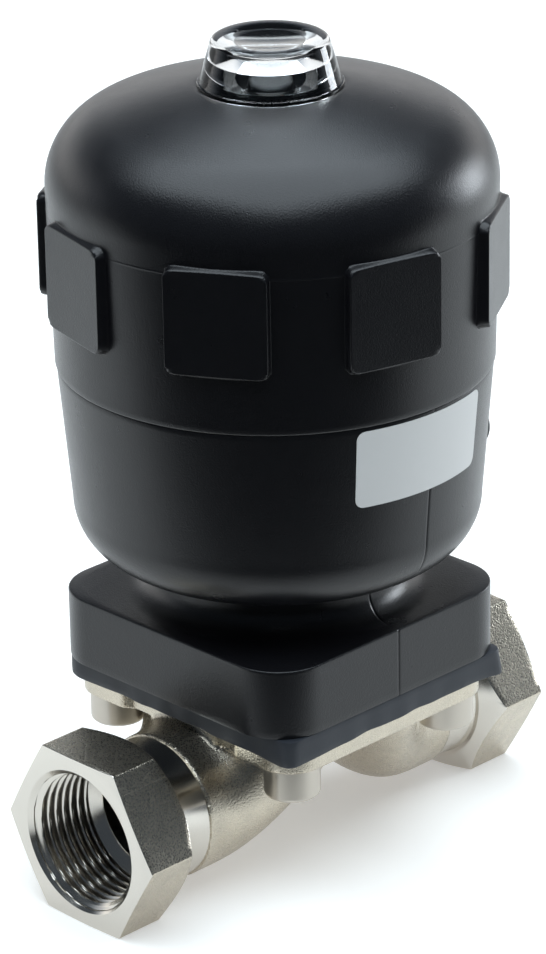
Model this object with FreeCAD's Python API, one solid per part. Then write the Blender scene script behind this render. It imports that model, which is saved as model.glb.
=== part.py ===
"""Weir-type diaphragm valve with a spring-closed, air-opened piston actuator.

A cast stainless body with threaded hexagon ends carries a rubber diaphragm. A moulded housing,
bonnet and cylinder in one, clamps it with four screws from below. Air under the piston lifts the
spindle, the compressor and the middle of the diaphragm off the weir; two springs close it.

Millimetres, +Z up the spindle, +X along the pipe. The origin is on the plane under the two
hexagons' lower flats, midway between the ports.
"""
import FreeCAD
import Part
import math
import os

V = FreeCAD.Vector

# How far a cutting tool runs past the face that it opens
OVERRUN = 1.0

# Valve body: cast stainless steel, ports threaded for one-inch pipe
BODY_LENGTH = 130.0
THREAD_RADIUS = 16.62
THREAD_WALL = 3.88
THREAD_CHAMFER = 1.0
THREAD_RUNOUT = 2.4
THREAD_END_WALL = 0.3
HEX_LENGTH = 16.8
HEX_OUTER_CHAMFER = 2.0
HEX_INNER_CHAMFER = 4.0
HEX_FACE_STEP = 0.3
HEX_SHOULDER_STEP = 2.1
PIPE_BORE_RADIUS = 12.65
PIPE_WALL = 4.2
NECK_LENGTH = 8.2
CAST_STEP = 0.45
WEIR_DEPTH = 12.9
WEIR_ARC_RADIUS = 35.6
ARCH_POWER = 4
SWELL_POWER = 3
ARCH_SECTIONS = 13
FLANGE_RISE = 22.0
FLANGE_THICKNESS = 5.8
FLANGE_LENGTH = 67.0
FLANGE_WIDTH = 73.0
FLANGE_CORNER = 8.5
FLANGE_INSET = 1.8
FLANGE_INSET_WIDTH = 34.0
FLANGE_INSET_ROUND = 1.6

# Body screws: four socket-head screws from below into brass inserts
SCREW_INSET_X = 8.2
SCREW_INSET_Y = 7.8
SCREW_RADIUS = 4.0
SCREW_HEAD_RADIUS = 6.5
SCREW_HEAD_HEIGHT = 8.0
SCREW_HEAD_ROUND = 1.0
SCREW_SOCKET_FLATS = 6.0
SCREW_SOCKET_DEPTH = 4.0
SCREW_LENGTH = 20.0
SCREW_CLEARANCE = 0.5
SPOT_FACE_GAP = 0.4
INSERT_RADIUS = 5.5
INSERT_LENGTH = 12.0

# Diaphragm, its stud and the compressor that presses it
DIAPHRAGM_OVERHANG_X = 1.6
DIAPHRAGM_OVERHANG_Y = 1.4
DIAPHRAGM_CORNER = 3.0
DIAPHRAGM_RIM = 4.4
DIAPHRAGM_WEB = 3.6
DIAPHRAGM_FREE_GAP = 1.1
SEAL_BEAD_RADIUS = 0.9
STUD_RADIUS = 3.0
STUD_HEAD_RADIUS = 5.5
STUD_HEAD_THICKNESS = 1.5
STUD_BOSS_RADIUS = 8.0
STUD_BOSS_HEIGHT = 2.4
STUD_GRIP = 4.0
COMPRESSOR_RADIUS = 21.0
COMPRESSOR_RIM = 1.8
COMPRESSOR_HUB_RADIUS = 10.0
COMPRESSOR_HUB_HEIGHT = 5.4
COMPRESSOR_HUB_CHAMFER = 0.8
COMPRESSOR_SLOTS = 8
COMPRESSOR_SLOT_WIDTH = 2.6
COMPRESSOR_SLOT_START = 13.0
PIN_RADIUS = 1.75
SOFT_GAP = 0.3
STROKE = 8.0

# Housing: bonnet, neck and cylinder moulded in one piece of glass-filled polyamide
BONNET_OVERHANG = 1.7
BONNET_CORNER = 12.6
BONNET_HEIGHT = 16.7
BONNET_EDGE_ROUND = 0.6
BONNET_CAVITY_RADIUS = 22.5
BONNET_MOUTH = 3.0
BONNET_ROOF = 5.1
NECK_WAIST_RADIUS = 29.0
NECK_HEIGHT = 13.4
NECK_FLARE = 6.0
NECK_TOP_ROUND = 2.5
NECK_CORE_DEPTH = 14.0
NECK_RIBS = 8
RIB_THICKNESS = 3.0
HOUSING_FOOT_ROUND = 11.5
HOUSING_TAPER = 2.7
HOUSING_LEDGE = 5.2
HOUSING_HEIGHT = 43.6
HOUSING_FLOOR = 4.5
COLLAR_HEIGHT = 16.0
COLLAR_WALL = 4.4
BORE_RADIUS = 40.0

# Spindle and its guide
SPINDLE_RADIUS = 6.0
SPINDLE_SHOULDER_STEP = 1.0
SPINDLE_CONE_LENGTH = 1.0
INDICATOR_ROD_RADIUS = 3.5
RUNNING_GAP = 0.04
BUSH_WALL = 3.2
BUSH_FLANGE_RADIUS = 12.0
BUSH_FLANGE_THICKNESS = 1.5
GUIDE_TUBE_WALL = 3.4
O_RING_SECTION = 1.9
SPINDLE_SEAL_DROP = 4.3
SPINDLE_SEAL_PITCH = 5.2
WIPER_HEIGHT = 3.0
WIPER_LIP = 1.0

# Piston with its lip seal and guide ring
PISTON_GAP = 0.3
PISTON_STOP_GAP = 0.3
PISTON_HUB_RADIUS = 11.0
PISTON_HUB_HEIGHT = 16.0
PISTON_WEB_RISE = 4.0
PISTON_WEB = 4.0
PISTON_RIM_HEIGHT = 13.0
PISTON_RIM_WALL = 7.0
PISTON_RIM_RISE = 6.4
SEAL_GROOVE_DEPTH = 4.2
SEAL_HEIGHT = 4.6
SEAL_GAP = 0.05
SEAL_BACK_RELIEF = 1.2
SEAL_LIP_WIDTH = 0.8
SEAL_LIP_DEPTH = 1.8
GUIDE_RING_HEIGHT = 3.0
GUIDE_RING_THICKNESS = 1.6
GROOVE_LAND = 1.8
SPRING_REGISTER_HEIGHT = 3.0
SPRING_REGISTER_GAP = 0.6
WASHER_THICKNESS = 1.6
WASHER_RADIUS = 9.5
NUT_ACROSS_FLATS = 16.0
NUT_HEIGHT = 8.0
NUT_CHAMFER = 0.2

# Springs
SPRING_LENGTH = 80.0
SPRING_END_PITCH = 1.1
OUTER_SPRING_GAP = 1.2
OUTER_WIRE_RADIUS = 2.5
OUTER_SPRING_HALF_TURNS = 12
INNER_SPRING_GAP = 6.2
INNER_WIRE_RADIUS = 1.8
INNER_SPRING_HALF_TURNS = 16
SPRING_SEAT_THICKNESS = 2.0
SPRING_SEAT_GAP = 2.5
SPRING_SEAT_LIP = 3.0
SPRING_SEAT_ROUND = 1.2

# Cover: polyamide dome with eight flat gripping pads
COVER_SEAM_STEP = 0.3
COVER_TAPER = 0.9
COVER_SIDE = 41.9
COVER_SHOULDER_ROUND = 17.5
COVER_CROWN_RADIUS = 118.0
COVER_WALL = 5.0
COVER_THREAD_GAP = 0.2
COVER_SEAL_DROP = 3.8
COVER_RIBS = 8
COVER_RIB_THICKNESS = 2.5
COVER_RIB_REACH = 38.0
PAD_COUNT = 8
PAD_FIRST_ANGLE = 31.0
PAD_RISE = 1.8
PAD_WIDTH = 23.6
PAD_HEIGHT = 24.4
PAD_FOOT = 13.8
PAD_CORNER = 2.2
PAD_DRAFT = 0.5
PAD_ROOT_BITE = 1.4
PAD_EDGE_ROUND = 0.35

# Indicator and its clear cap
CAP_BASE_RADIUS = 16.4
CAP_BASE_LIP = 1.0
CAP_LIP_STEP = 0.5
CAP_TOP_RADIUS = 13.4
CAP_HEIGHT = 10.9
CAP_EDGE_ROUND = 1.2
CAP_DISH_RADIUS = 9.0
CAP_DISH_DEPTH = 0.9
CAP_ROOF = 2.3
CAP_BORE_RADIUS = 8.6
CAP_WINDOW_RADIUS = 11.6
CAP_WINDOW_DEPTH = 5.6
CAP_SPIGOT_RADIUS = 11.0
CAP_SPIGOT_LENGTH = 7.0
CAP_SPIGOT_GAP = 0.1
COVER_LAND = 0.8
INDICATOR_RADIUS = 5.5
INDICATOR_LENGTH = 16.0
INDICATOR_GRIP = 9.0
INDICATOR_EDGE_ROUND = 1.0
INDICATOR_GAP = 0.5
CAP_ROOF_GAP = 0.6
COVER_TUBE_WALL = 3.5

# Pilot air connection on the +X side, under the piston
PILOT_RISE = 7.5
PILOT_BOSS_RADIUS = 9.0
PILOT_BOSS_RISE = 0.4
PILOT_ORIFICE_RADIUS = 2.0
PILOT_BUSH_RADIUS = 6.6
PILOT_BUSH_LENGTH = 8.0
PILOT_THREAD_RADIUS = 4.86
PILOT_THREAD_LENGTH = 6.5
FITTING_RADIUS = 7.8
FITTING_REACH = 12.6
FITTING_EDGE_ROUND = 1.0
FITTING_SEAL_SECTION = 0.95
TUBE_RADIUS = 3.05
TUBE_DEPTH = 11.1
COLLET_RADIUS = 5.4
COLLET_GAP = 0.1
COLLET_HEAD_RADIUS = 6.4
COLLET_HEAD_THICKNESS = 0.9
COLLET_STROKE = 1.2
COLLET_DEPTH = 5.0

# Sizes that follow from the ones above
HALF_LENGTH = BODY_LENGTH / 2
HEX_ACROSS_FLATS = 2 * (THREAD_RADIUS + THREAD_WALL)
HEX_FACE_RADIUS = HEX_ACROSS_FLATS / 2 - HEX_FACE_STEP
HEX_SHOULDER_RADIUS = HEX_ACROSS_FLATS / 2 - HEX_SHOULDER_STEP
THREAD_DEPTH = HEX_LENGTH - THREAD_END_WALL
NECK_RADIUS = PIPE_BORE_RADIUS + PIPE_WALL
NECK_END = HALF_LENGTH - HEX_LENGTH - NECK_LENGTH
SCREW_SPACING_X = FLANGE_LENGTH - 2 * SCREW_INSET_X
SCREW_SPACING_Y = FLANGE_WIDTH - 2 * SCREW_INSET_Y
DIAPHRAGM_LENGTH = FLANGE_LENGTH + 2 * DIAPHRAGM_OVERHANG_X
DIAPHRAGM_WIDTH = FLANGE_WIDTH + 2 * DIAPHRAGM_OVERHANG_Y
BONNET_SIDE = max(FLANGE_LENGTH, FLANGE_WIDTH) + 2 * BONNET_OVERHANG
COLLAR_RADIUS = BORE_RADIUS + COLLAR_WALL
HOUSING_SEAM_RADIUS = COLLAR_RADIUS + HOUSING_LEDGE
HOUSING_FOOT_RADIUS = HOUSING_SEAM_RADIUS - HOUSING_TAPER
COVER_SEAM_RADIUS = HOUSING_SEAM_RADIUS + COVER_SEAM_STEP
COVER_SHOULDER_RADIUS = COVER_SEAM_RADIUS + COVER_TAPER
PAD_ROOT_DISTANCE = COVER_SEAM_RADIUS - PAD_ROOT_BITE
PAD_FACE_DISTANCE = COVER_SEAM_RADIUS + PAD_RISE
PILOT_BOSS_END = HOUSING_SEAM_RADIUS + PILOT_BOSS_RISE
FITTING_END = PILOT_BOSS_END + FITTING_REACH
PISTON_RADIUS = BORE_RADIUS - PISTON_GAP
OUTER_SPRING_RADIUS = PISTON_RADIUS - PISTON_RIM_WALL - OUTER_SPRING_GAP - OUTER_WIRE_RADIUS
INNER_SPRING_RADIUS = OUTER_SPRING_RADIUS - OUTER_WIRE_RADIUS - INNER_SPRING_GAP - INNER_WIRE_RADIUS
SPRING_SEAT_RADIUS = OUTER_SPRING_RADIUS + OUTER_WIRE_RADIUS + SPRING_SEAT_GAP

# Levels along +Z that the sizes above add up to
PIPE_Z = HEX_ACROSS_FLATS / 2
FLANGE_TOP = PIPE_Z + FLANGE_RISE
FLANGE_BOTTOM = FLANGE_TOP - FLANGE_THICKNESS
WEIR_TOP = FLANGE_TOP - WEIR_DEPTH
ARC_CENTRE = WEIR_TOP + WEIR_ARC_RADIUS
WEB_OUTER = WEIR_ARC_RADIUS - DIAPHRAGM_FREE_GAP
WEB_INNER = WEB_OUTER - DIAPHRAGM_WEB
BONNET_BOTTOM = FLANGE_TOP + DIAPHRAGM_RIM
BONNET_TOP = BONNET_BOTTOM + BONNET_HEIGHT
CAVITY_TOP = BONNET_TOP - BONNET_ROOF
HOUSING_BOTTOM = BONNET_TOP + NECK_HEIGHT
CYLINDER_FLOOR = HOUSING_BOTTOM + HOUSING_FLOOR
SEAM_Z = HOUSING_BOTTOM + HOUSING_HEIGHT
COLLAR_TOP = SEAM_Z + COLLAR_HEIGHT
BUSH_TOP = CYLINDER_FLOOR + BUSH_FLANGE_THICKNESS
BUSH_BOTTOM = CAVITY_TOP + WIPER_HEIGHT + SOFT_GAP
BUSH_RADIUS = SPINDLE_RADIUS + RUNNING_GAP + BUSH_WALL
PISTON_BOTTOM = BUSH_TOP + PISTON_STOP_GAP
PISTON_WEB_BOTTOM = PISTON_BOTTOM + PISTON_WEB_RISE
SPRING_FOOT = PISTON_WEB_BOTTOM + PISTON_WEB
PISTON_HUB_TOP = PISTON_BOTTOM + PISTON_HUB_HEIGHT
PISTON_RIM_BOTTOM = PISTON_BOTTOM + PISTON_RIM_RISE
SPRING_TOP = SPRING_FOOT + SPRING_LENGTH
SEAT_TOP = SPRING_TOP + SPRING_SEAT_THICKNESS
SHOULDER_Z = SEAM_Z + COVER_SIDE
SHOULDER_CENTRE_R = COVER_SHOULDER_RADIUS - COVER_SHOULDER_ROUND
CROWN_CENTRE_Z = SHOULDER_Z - math.sqrt(
    (COVER_CROWN_RADIUS - COVER_SHOULDER_ROUND) ** 2 - SHOULDER_CENTRE_R ** 2
)
LAND_RADIUS = CAP_BASE_RADIUS + COVER_LAND
CAP_BASE = CROWN_CENTRE_Z + math.sqrt(COVER_CROWN_RADIUS ** 2 - LAND_RADIUS ** 2)
CAP_TOP = CAP_BASE + CAP_HEIGHT
CAP_CEILING = CAP_TOP - CAP_DISH_DEPTH - CAP_ROOF
INDICATOR_TOP = CAP_CEILING - CAP_ROOF_GAP - STROKE
SPIGOT_BOTTOM = CAP_BASE - CAP_SPIGOT_LENGTH
COMPRESSOR_SPHERE = WEB_INNER - SOFT_GAP
COMPRESSOR_EDGE = ARC_CENTRE - math.sqrt(COMPRESSOR_SPHERE ** 2 - COMPRESSOR_RADIUS ** 2)
COMPRESSOR_PLATE_TOP = COMPRESSOR_EDGE + COMPRESSOR_RIM
COMPRESSOR_TOP = COMPRESSOR_PLATE_TOP + COMPRESSOR_HUB_HEIGHT
WEB_CENTRE_TOP = ARC_CENTRE - WEB_INNER
STUD_BOSS_TOP = WEB_CENTRE_TOP + STUD_BOSS_HEIGHT
STUD_TOP = STUD_BOSS_TOP + SOFT_GAP + STUD_GRIP
PIN_Z = COMPRESSOR_PLATE_TOP + COMPRESSOR_HUB_HEIGHT / 2
PILOT_Z = HOUSING_BOTTOM + PILOT_RISE


def turned(start, *moves):
    """Solid of revolution about Z. A move is an end point (r, z), or (through, end) for an arc."""
    edges = []
    here = V(start[0], 0, start[1])
    for move in moves:
        if isinstance(move[0], tuple):
            through = V(move[0][0], 0, move[0][1])
            end = V(move[1][0], 0, move[1][1])
            edges.append(Part.Arc(here, through, end).toShape())
        else:
            end = V(move[0], 0, move[1])
            edges.append(Part.makeLine(here, end))
        here = end
    first = V(start[0], 0, start[1])
    if here.distanceToPoint(first) > 1e-6:
        edges.append(Part.makeLine(here, first))
    face = Part.Face(Part.Wire(edges))
    solid = face.revolve(V(0, 0, 0), V(0, 0, 1), 360)
    return solid if solid.Volume > 0 else solid.reversed()


def on_arc(centre, radius, degrees):
    """Point (r, z) on a circle in the half plane, at an angle above the horizontal."""
    angle = math.radians(degrees)
    return (centre[0] + radius * math.cos(angle), centre[1] + radius * math.sin(angle))


def ring(inner, outer, bottom, top):
    """Plain ring about Z."""
    return turned((inner, bottom), (outer, bottom), (outer, top), (inner, top))


def disc(radius, bottom, top):
    """Plain cylinder about Z."""
    return Part.makeCylinder(radius, top - bottom, V(0, 0, bottom))


def o_ring(inner, section, z):
    """Round rubber ring about Z with the given inner radius."""
    return Part.makeTorus(inner + section / 2, section / 2, V(0, 0, z))


def along_x(shape, z):
    """Turn a shape from the Z axis to the X axis, at height z."""
    turned_shape = shape.copy()
    turned_shape.rotate(V(0, 0, 0), V(0, 1, 0), 90)
    turned_shape.translate(V(0, 0, z))
    return turned_shape


def both_ways(shape):
    """The shape and its mirror image in the plane x = 0."""
    return [shape, shape.mirror(V(0, 0, 0), V(1, 0, 0))]


def around(shape, count, first=0.0):
    """Copies of a shape turned evenly about Z."""
    copies = []
    for step in range(count):
        copy = shape.copy()
        copy.rotate(V(0, 0, 0), V(0, 0, 1), first + step * 360.0 / count)
        copies.append(copy)
    return copies


def hexagon(across_flats, height, bottom):
    """Hexagonal prism about Z with two flats facing -X and +X."""
    corner = across_flats / math.sqrt(3)
    points = []
    for side in range(7):
        angle = math.radians(60 * side + 30)
        points.append(V(corner * math.cos(angle), corner * math.sin(angle), bottom))
    return Part.Face(Part.makePolygon(points)).extrude(V(0, 0, height))


def rounded_outline(length, width, corner, z):
    """Closed wire of a rounded rectangle about Z, at one height."""
    half_x, half_y = length / 2 - corner, width / 2 - corner
    centres = [(half_x, half_y), (-half_x, half_y), (-half_x, -half_y), (half_x, -half_y)]
    edges = []
    for quarter, (x, y) in enumerate(centres):
        start = 90.0 * quarter
        arc = Part.makeCircle(corner, V(x, y, z), V(0, 0, 1), start, start + 90)
        if edges:
            edges.append(Part.makeLine(edges[-1].lastVertex().Point, arc.firstVertex().Point))
        edges.append(arc)
    edges.append(Part.makeLine(edges[-1].lastVertex().Point, edges[0].firstVertex().Point))
    return Part.Wire(edges)


def rounded_plate(length, width, corner, bottom, top):
    """Plate about Z with rounded upright edges."""
    outline = rounded_outline(length, width, corner, bottom)
    return Part.Face(outline).extrude(V(0, 0, top - bottom))


def round_edges(shape, radius, chosen):
    """Fillet every edge that the test picks."""
    return shape.makeFillet(radius, [edge for edge in shape.Edges if chosen(edge)])


def at_height(z):
    """Test for an edge that lies wholly at one height."""
    return lambda edge: abs(edge.BoundBox.ZMin - z) < 1e-4 and abs(edge.BoundBox.ZMax - z) < 1e-4


def screw_places():
    """Centres of the four body screws."""
    half_x, half_y = SCREW_SPACING_X / 2, SCREW_SPACING_Y / 2
    return [(sx * half_x, sy * half_y) for sx in (-1, 1) for sy in (-1, 1)]


def at_screws(shape):
    """The shape copied to each body screw."""
    copies = []
    for x, y in screw_places():
        copy = shape.copy()
        copy.translate(V(x, y, 0))
        copies.append(copy)
    return copies


def arched_loft(end_radius, end_bottom, middle_radius, middle_bottom):
    """Tube over the weir: circles whose lowest points and radii follow powers of a cosine."""
    wires = []
    for index in range(ARCH_SECTIONS):
        x = NECK_END * (2 * index / (ARCH_SECTIONS - 1) - 1)
        lift = math.cos(math.pi / 2 * x / NECK_END)
        bottom = end_bottom + (middle_bottom - end_bottom) * lift ** ARCH_POWER
        radius = end_radius + (middle_radius - end_radius) * lift ** SWELL_POWER
        wires.append(Part.Wire(Part.makeCircle(radius, V(x, 0, bottom + radius), V(1, 0, 0))))
    return Part.makeLoft(wires, True, False)


def arch_outside():
    """The cast lobes and the arch under the weir, seen from outside."""
    lobe = NECK_RADIUS + CAST_STEP
    underside = WEIR_TOP - PIPE_WALL
    return arched_loft(lobe, PIPE_Z - lobe, WEIR_ARC_RADIUS + PIPE_WALL, underside)


def arch_inside():
    """The way for the fluid, from the pipe's bore up to the weir's arc and down again."""
    bottom = PIPE_Z - PIPE_BORE_RADIUS
    return arched_loft(PIPE_BORE_RADIUS, bottom, WEIR_ARC_RADIUS, WEIR_TOP)


def hexagon_end():
    """One port end along +X: hexagon with turned chamfers, and the round neck behind it."""
    inner_end = HALF_LENGTH - HEX_LENGTH
    corner = HEX_ACROSS_FLATS / math.sqrt(3)
    envelope = turned(
        (0, inner_end),
        (HEX_SHOULDER_RADIUS, inner_end),
        (corner, inner_end + HEX_INNER_CHAMFER),
        (corner, HALF_LENGTH - HEX_OUTER_CHAMFER),
        (HEX_FACE_RADIUS, HALF_LENGTH),
        (0, HALF_LENGTH),
    )
    head = hexagon(HEX_ACROSS_FLATS, HEX_LENGTH, inner_end).common(envelope)
    neck = disc(NECK_RADIUS, NECK_END - PIPE_WALL, inner_end + HEX_INNER_CHAMFER)
    return along_x(head.fuse(neck), PIPE_Z)


def port_cut():
    """The hole of one port along +X: thread, runout cone and plain bore."""
    thread_end = HALF_LENGTH - THREAD_DEPTH
    cut = turned(
        (0, NECK_END),
        (PIPE_BORE_RADIUS, NECK_END),
        (PIPE_BORE_RADIUS, thread_end - THREAD_RUNOUT),
        (THREAD_RADIUS, thread_end),
        (THREAD_RADIUS, HALF_LENGTH - THREAD_CHAMFER),
        (THREAD_RADIUS + THREAD_CHAMFER, HALF_LENGTH),
        (0, HALF_LENGTH),
    )
    return along_x(cut, PIPE_Z)


def valve_body():
    flange = rounded_plate(FLANGE_LENGTH, FLANGE_WIDTH, FLANGE_CORNER, FLANGE_BOTTOM, FLANGE_TOP)
    inset = rounded_plate(
        2 * FLANGE_INSET, FLANGE_INSET_WIDTH, FLANGE_INSET_ROUND, FLANGE_BOTTOM, FLANGE_TOP
    )
    for side in (-1, 1):
        notch = inset.copy()
        notch.translate(V(side * FLANGE_LENGTH / 2, 0, 0))
        flange = flange.cut(notch)
    below = Part.makeBox(
        2 * NECK_END, FLANGE_WIDTH, FLANGE_TOP, V(-NECK_END, -FLANGE_WIDTH / 2, 0)
    )
    body = arch_outside().common(below).fuse([flange] + both_ways(hexagon_end()))
    spot_faces = at_screws(disc(SCREW_HEAD_RADIUS + SPOT_FACE_GAP, 0, FLANGE_BOTTOM))
    holes = at_screws(disc(SCREW_RADIUS + SCREW_CLEARANCE, FLANGE_BOTTOM - OVERRUN, FLANGE_TOP))
    mouth = Part.makeSphere(WEB_OUTER + SOFT_GAP, V(0, 0, ARC_CENTRE))
    for cuts in (spot_faces, holes, arch_inside(), mouth, both_ways(port_cut())):
        body = body.cut(cuts)
    return body


def body_screws():
    head_bottom = FLANGE_BOTTOM - SCREW_HEAD_HEIGHT
    head = disc(SCREW_HEAD_RADIUS, head_bottom, FLANGE_BOTTOM)
    head = round_edges(head, SCREW_HEAD_ROUND, at_height(head_bottom))
    shank = disc(SCREW_RADIUS, FLANGE_BOTTOM, FLANGE_BOTTOM + SCREW_LENGTH)
    socket = hexagon(SCREW_SOCKET_FLATS, SCREW_SOCKET_DEPTH, head_bottom)
    return at_screws(head.fuse(shank).cut(socket).removeSplitter())


def thread_inserts():
    insert = ring(SCREW_RADIUS, INSERT_RADIUS, BONNET_BOTTOM, BONNET_BOTTOM + INSERT_LENGTH)
    return at_screws(insert)


def stud_profile(gap):
    """The stud moulded into the diaphragm; the gap makes its pocket in the rubber."""
    head_bottom = WEB_CENTRE_TOP - STUD_HEAD_THICKNESS / 2
    head_top = head_bottom + STUD_HEAD_THICKNESS
    return turned(
        (0, head_bottom - gap),
        (STUD_HEAD_RADIUS + gap, head_bottom - gap),
        (STUD_HEAD_RADIUS + gap, head_top + gap),
        (STUD_RADIUS + gap, head_top + gap),
        (STUD_RADIUS + gap, STUD_TOP),
        (0, STUD_TOP),
    )


def diaphragm():
    plate = rounded_plate(
        DIAPHRAGM_LENGTH, DIAPHRAGM_WIDTH, DIAPHRAGM_CORNER, FLANGE_TOP, BONNET_BOTTOM
    )
    centre = V(0, 0, ARC_CENTRE)
    clamped = disc(WEB_OUTER, WEIR_TOP, FLANGE_TOP + OVERRUN)
    bowl = Part.makeSphere(WEB_OUTER, centre).common(clamped)
    bead = Part.makeTorus(WEB_OUTER, SEAL_BEAD_RADIUS, centre, V(1, 0, 0)).common(clamped)
    hollow = Part.makeSphere(WEB_INNER, centre)
    boss = disc(STUD_BOSS_RADIUS, WEB_CENTRE_TOP - DIAPHRAGM_WEB / 2, STUD_BOSS_TOP)
    holes = at_screws(disc(SCREW_RADIUS + SCREW_CLEARANCE, FLANGE_TOP, BONNET_BOTTOM))
    rubber = plate.fuse([bowl, bead]).cut(hollow).fuse(boss)
    return rubber.cut(holes + [stud_profile(SOFT_GAP)]).removeSplitter()


def compressor():
    dome = Part.makeSphere(COMPRESSOR_SPHERE, V(0, 0, ARC_CENTRE))
    dome = dome.common(disc(COMPRESSOR_RADIUS, WEIR_TOP, COMPRESSOR_PLATE_TOP))
    hub = turned(
        (0, COMPRESSOR_EDGE),
        (COMPRESSOR_HUB_RADIUS, COMPRESSOR_EDGE),
        (COMPRESSOR_HUB_RADIUS, COMPRESSOR_TOP - COMPRESSOR_HUB_CHAMFER),
        (COMPRESSOR_HUB_RADIUS - COMPRESSOR_HUB_CHAMFER, COMPRESSOR_TOP),
        (0, COMPRESSOR_TOP),
    )
    slot = Part.makeBox(
        COMPRESSOR_RADIUS,
        COMPRESSOR_SLOT_WIDTH,
        COMPRESSOR_TOP - WEIR_TOP,
        V(COMPRESSOR_SLOT_START, -COMPRESSOR_SLOT_WIDTH / 2, WEIR_TOP),
    )
    slots = around(slot, COMPRESSOR_SLOTS, 180.0 / COMPRESSOR_SLOTS)
    recess = disc(STUD_BOSS_RADIUS + SOFT_GAP, WEIR_TOP, STUD_BOSS_TOP + SOFT_GAP)
    stud_hole = disc(STUD_RADIUS, WEIR_TOP, STUD_TOP)
    socket = disc(SPINDLE_RADIUS, STUD_TOP, COMPRESSOR_TOP)
    return dome.fuse(hub).cut(slots + [recess, stud_hole, socket, pin_rod()]).removeSplitter()


def pin_rod():
    """Cross pin that joins the compressor's hub to the spindle."""
    reach = COMPRESSOR_HUB_RADIUS
    return Part.makeCylinder(PIN_RADIUS, 2 * reach, V(0, -reach, PIN_Z), V(0, 1, 0))


def compressor_pin():
    hub = disc(COMPRESSOR_HUB_RADIUS, COMPRESSOR_PLATE_TOP, COMPRESSOR_TOP)
    return pin_rod().common(hub)


def spindle():
    shoulder = SPINDLE_RADIUS - SPINDLE_SHOULDER_STEP
    nut_top = PISTON_HUB_TOP + WASHER_THICKNESS + NUT_HEIGHT
    rod_top = INDICATOR_TOP - INDICATOR_LENGTH + INDICATOR_GRIP
    rod = turned(
        (0, STUD_TOP),
        (SPINDLE_RADIUS, STUD_TOP),
        (SPINDLE_RADIUS, PISTON_BOTTOM),
        (shoulder, PISTON_BOTTOM),
        (shoulder, nut_top),
        (INDICATOR_ROD_RADIUS, nut_top + SPINDLE_CONE_LENGTH),
        (INDICATOR_ROD_RADIUS, rod_top),
        (0, rod_top),
    )
    return rod.cut(pin_rod())


def neck_o_ring_levels():
    """Heights of the two spindle seals inside the guide bush."""
    upper = BUSH_TOP - SPINDLE_SEAL_DROP
    return [upper - SPINDLE_SEAL_PITCH, upper]


def guide_bush():
    bore = SPINDLE_RADIUS + RUNNING_GAP
    bush = turned(
        (bore, BUSH_BOTTOM),
        (BUSH_RADIUS, BUSH_BOTTOM),
        (BUSH_RADIUS, CYLINDER_FLOOR),
        (BUSH_FLANGE_RADIUS, CYLINDER_FLOOR),
        (BUSH_FLANGE_RADIUS, BUSH_TOP),
        (bore, BUSH_TOP),
    )
    grooves = []
    for z in neck_o_ring_levels():
        half = O_RING_SECTION / 2 + SEAL_GAP
        grooves.append(disc(bore + O_RING_SECTION + SEAL_GAP, z - half, z + half))
    return bush.cut(grooves)


def spindle_o_rings():
    inner = SPINDLE_RADIUS + RUNNING_GAP
    return [o_ring(inner, O_RING_SECTION, z) for z in neck_o_ring_levels()]


def spindle_wiper():
    inner = SPINDLE_RADIUS + SEAL_GAP
    lip = inner + WIPER_LIP
    shoulder = CAVITY_TOP + WIPER_LIP
    top = CAVITY_TOP + WIPER_HEIGHT
    return turned(
        (inner, CAVITY_TOP),
        (lip, CAVITY_TOP),
        (lip, shoulder),
        (BUSH_RADIUS, shoulder),
        (BUSH_RADIUS, top),
        (lip, top),
    )


def foot_profile_top():
    """Centre and start of the big rounding under the cylinder."""
    return (HOUSING_FOOT_RADIUS - HOUSING_FOOT_ROUND, HOUSING_BOTTOM + HOUSING_FOOT_ROUND)


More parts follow.
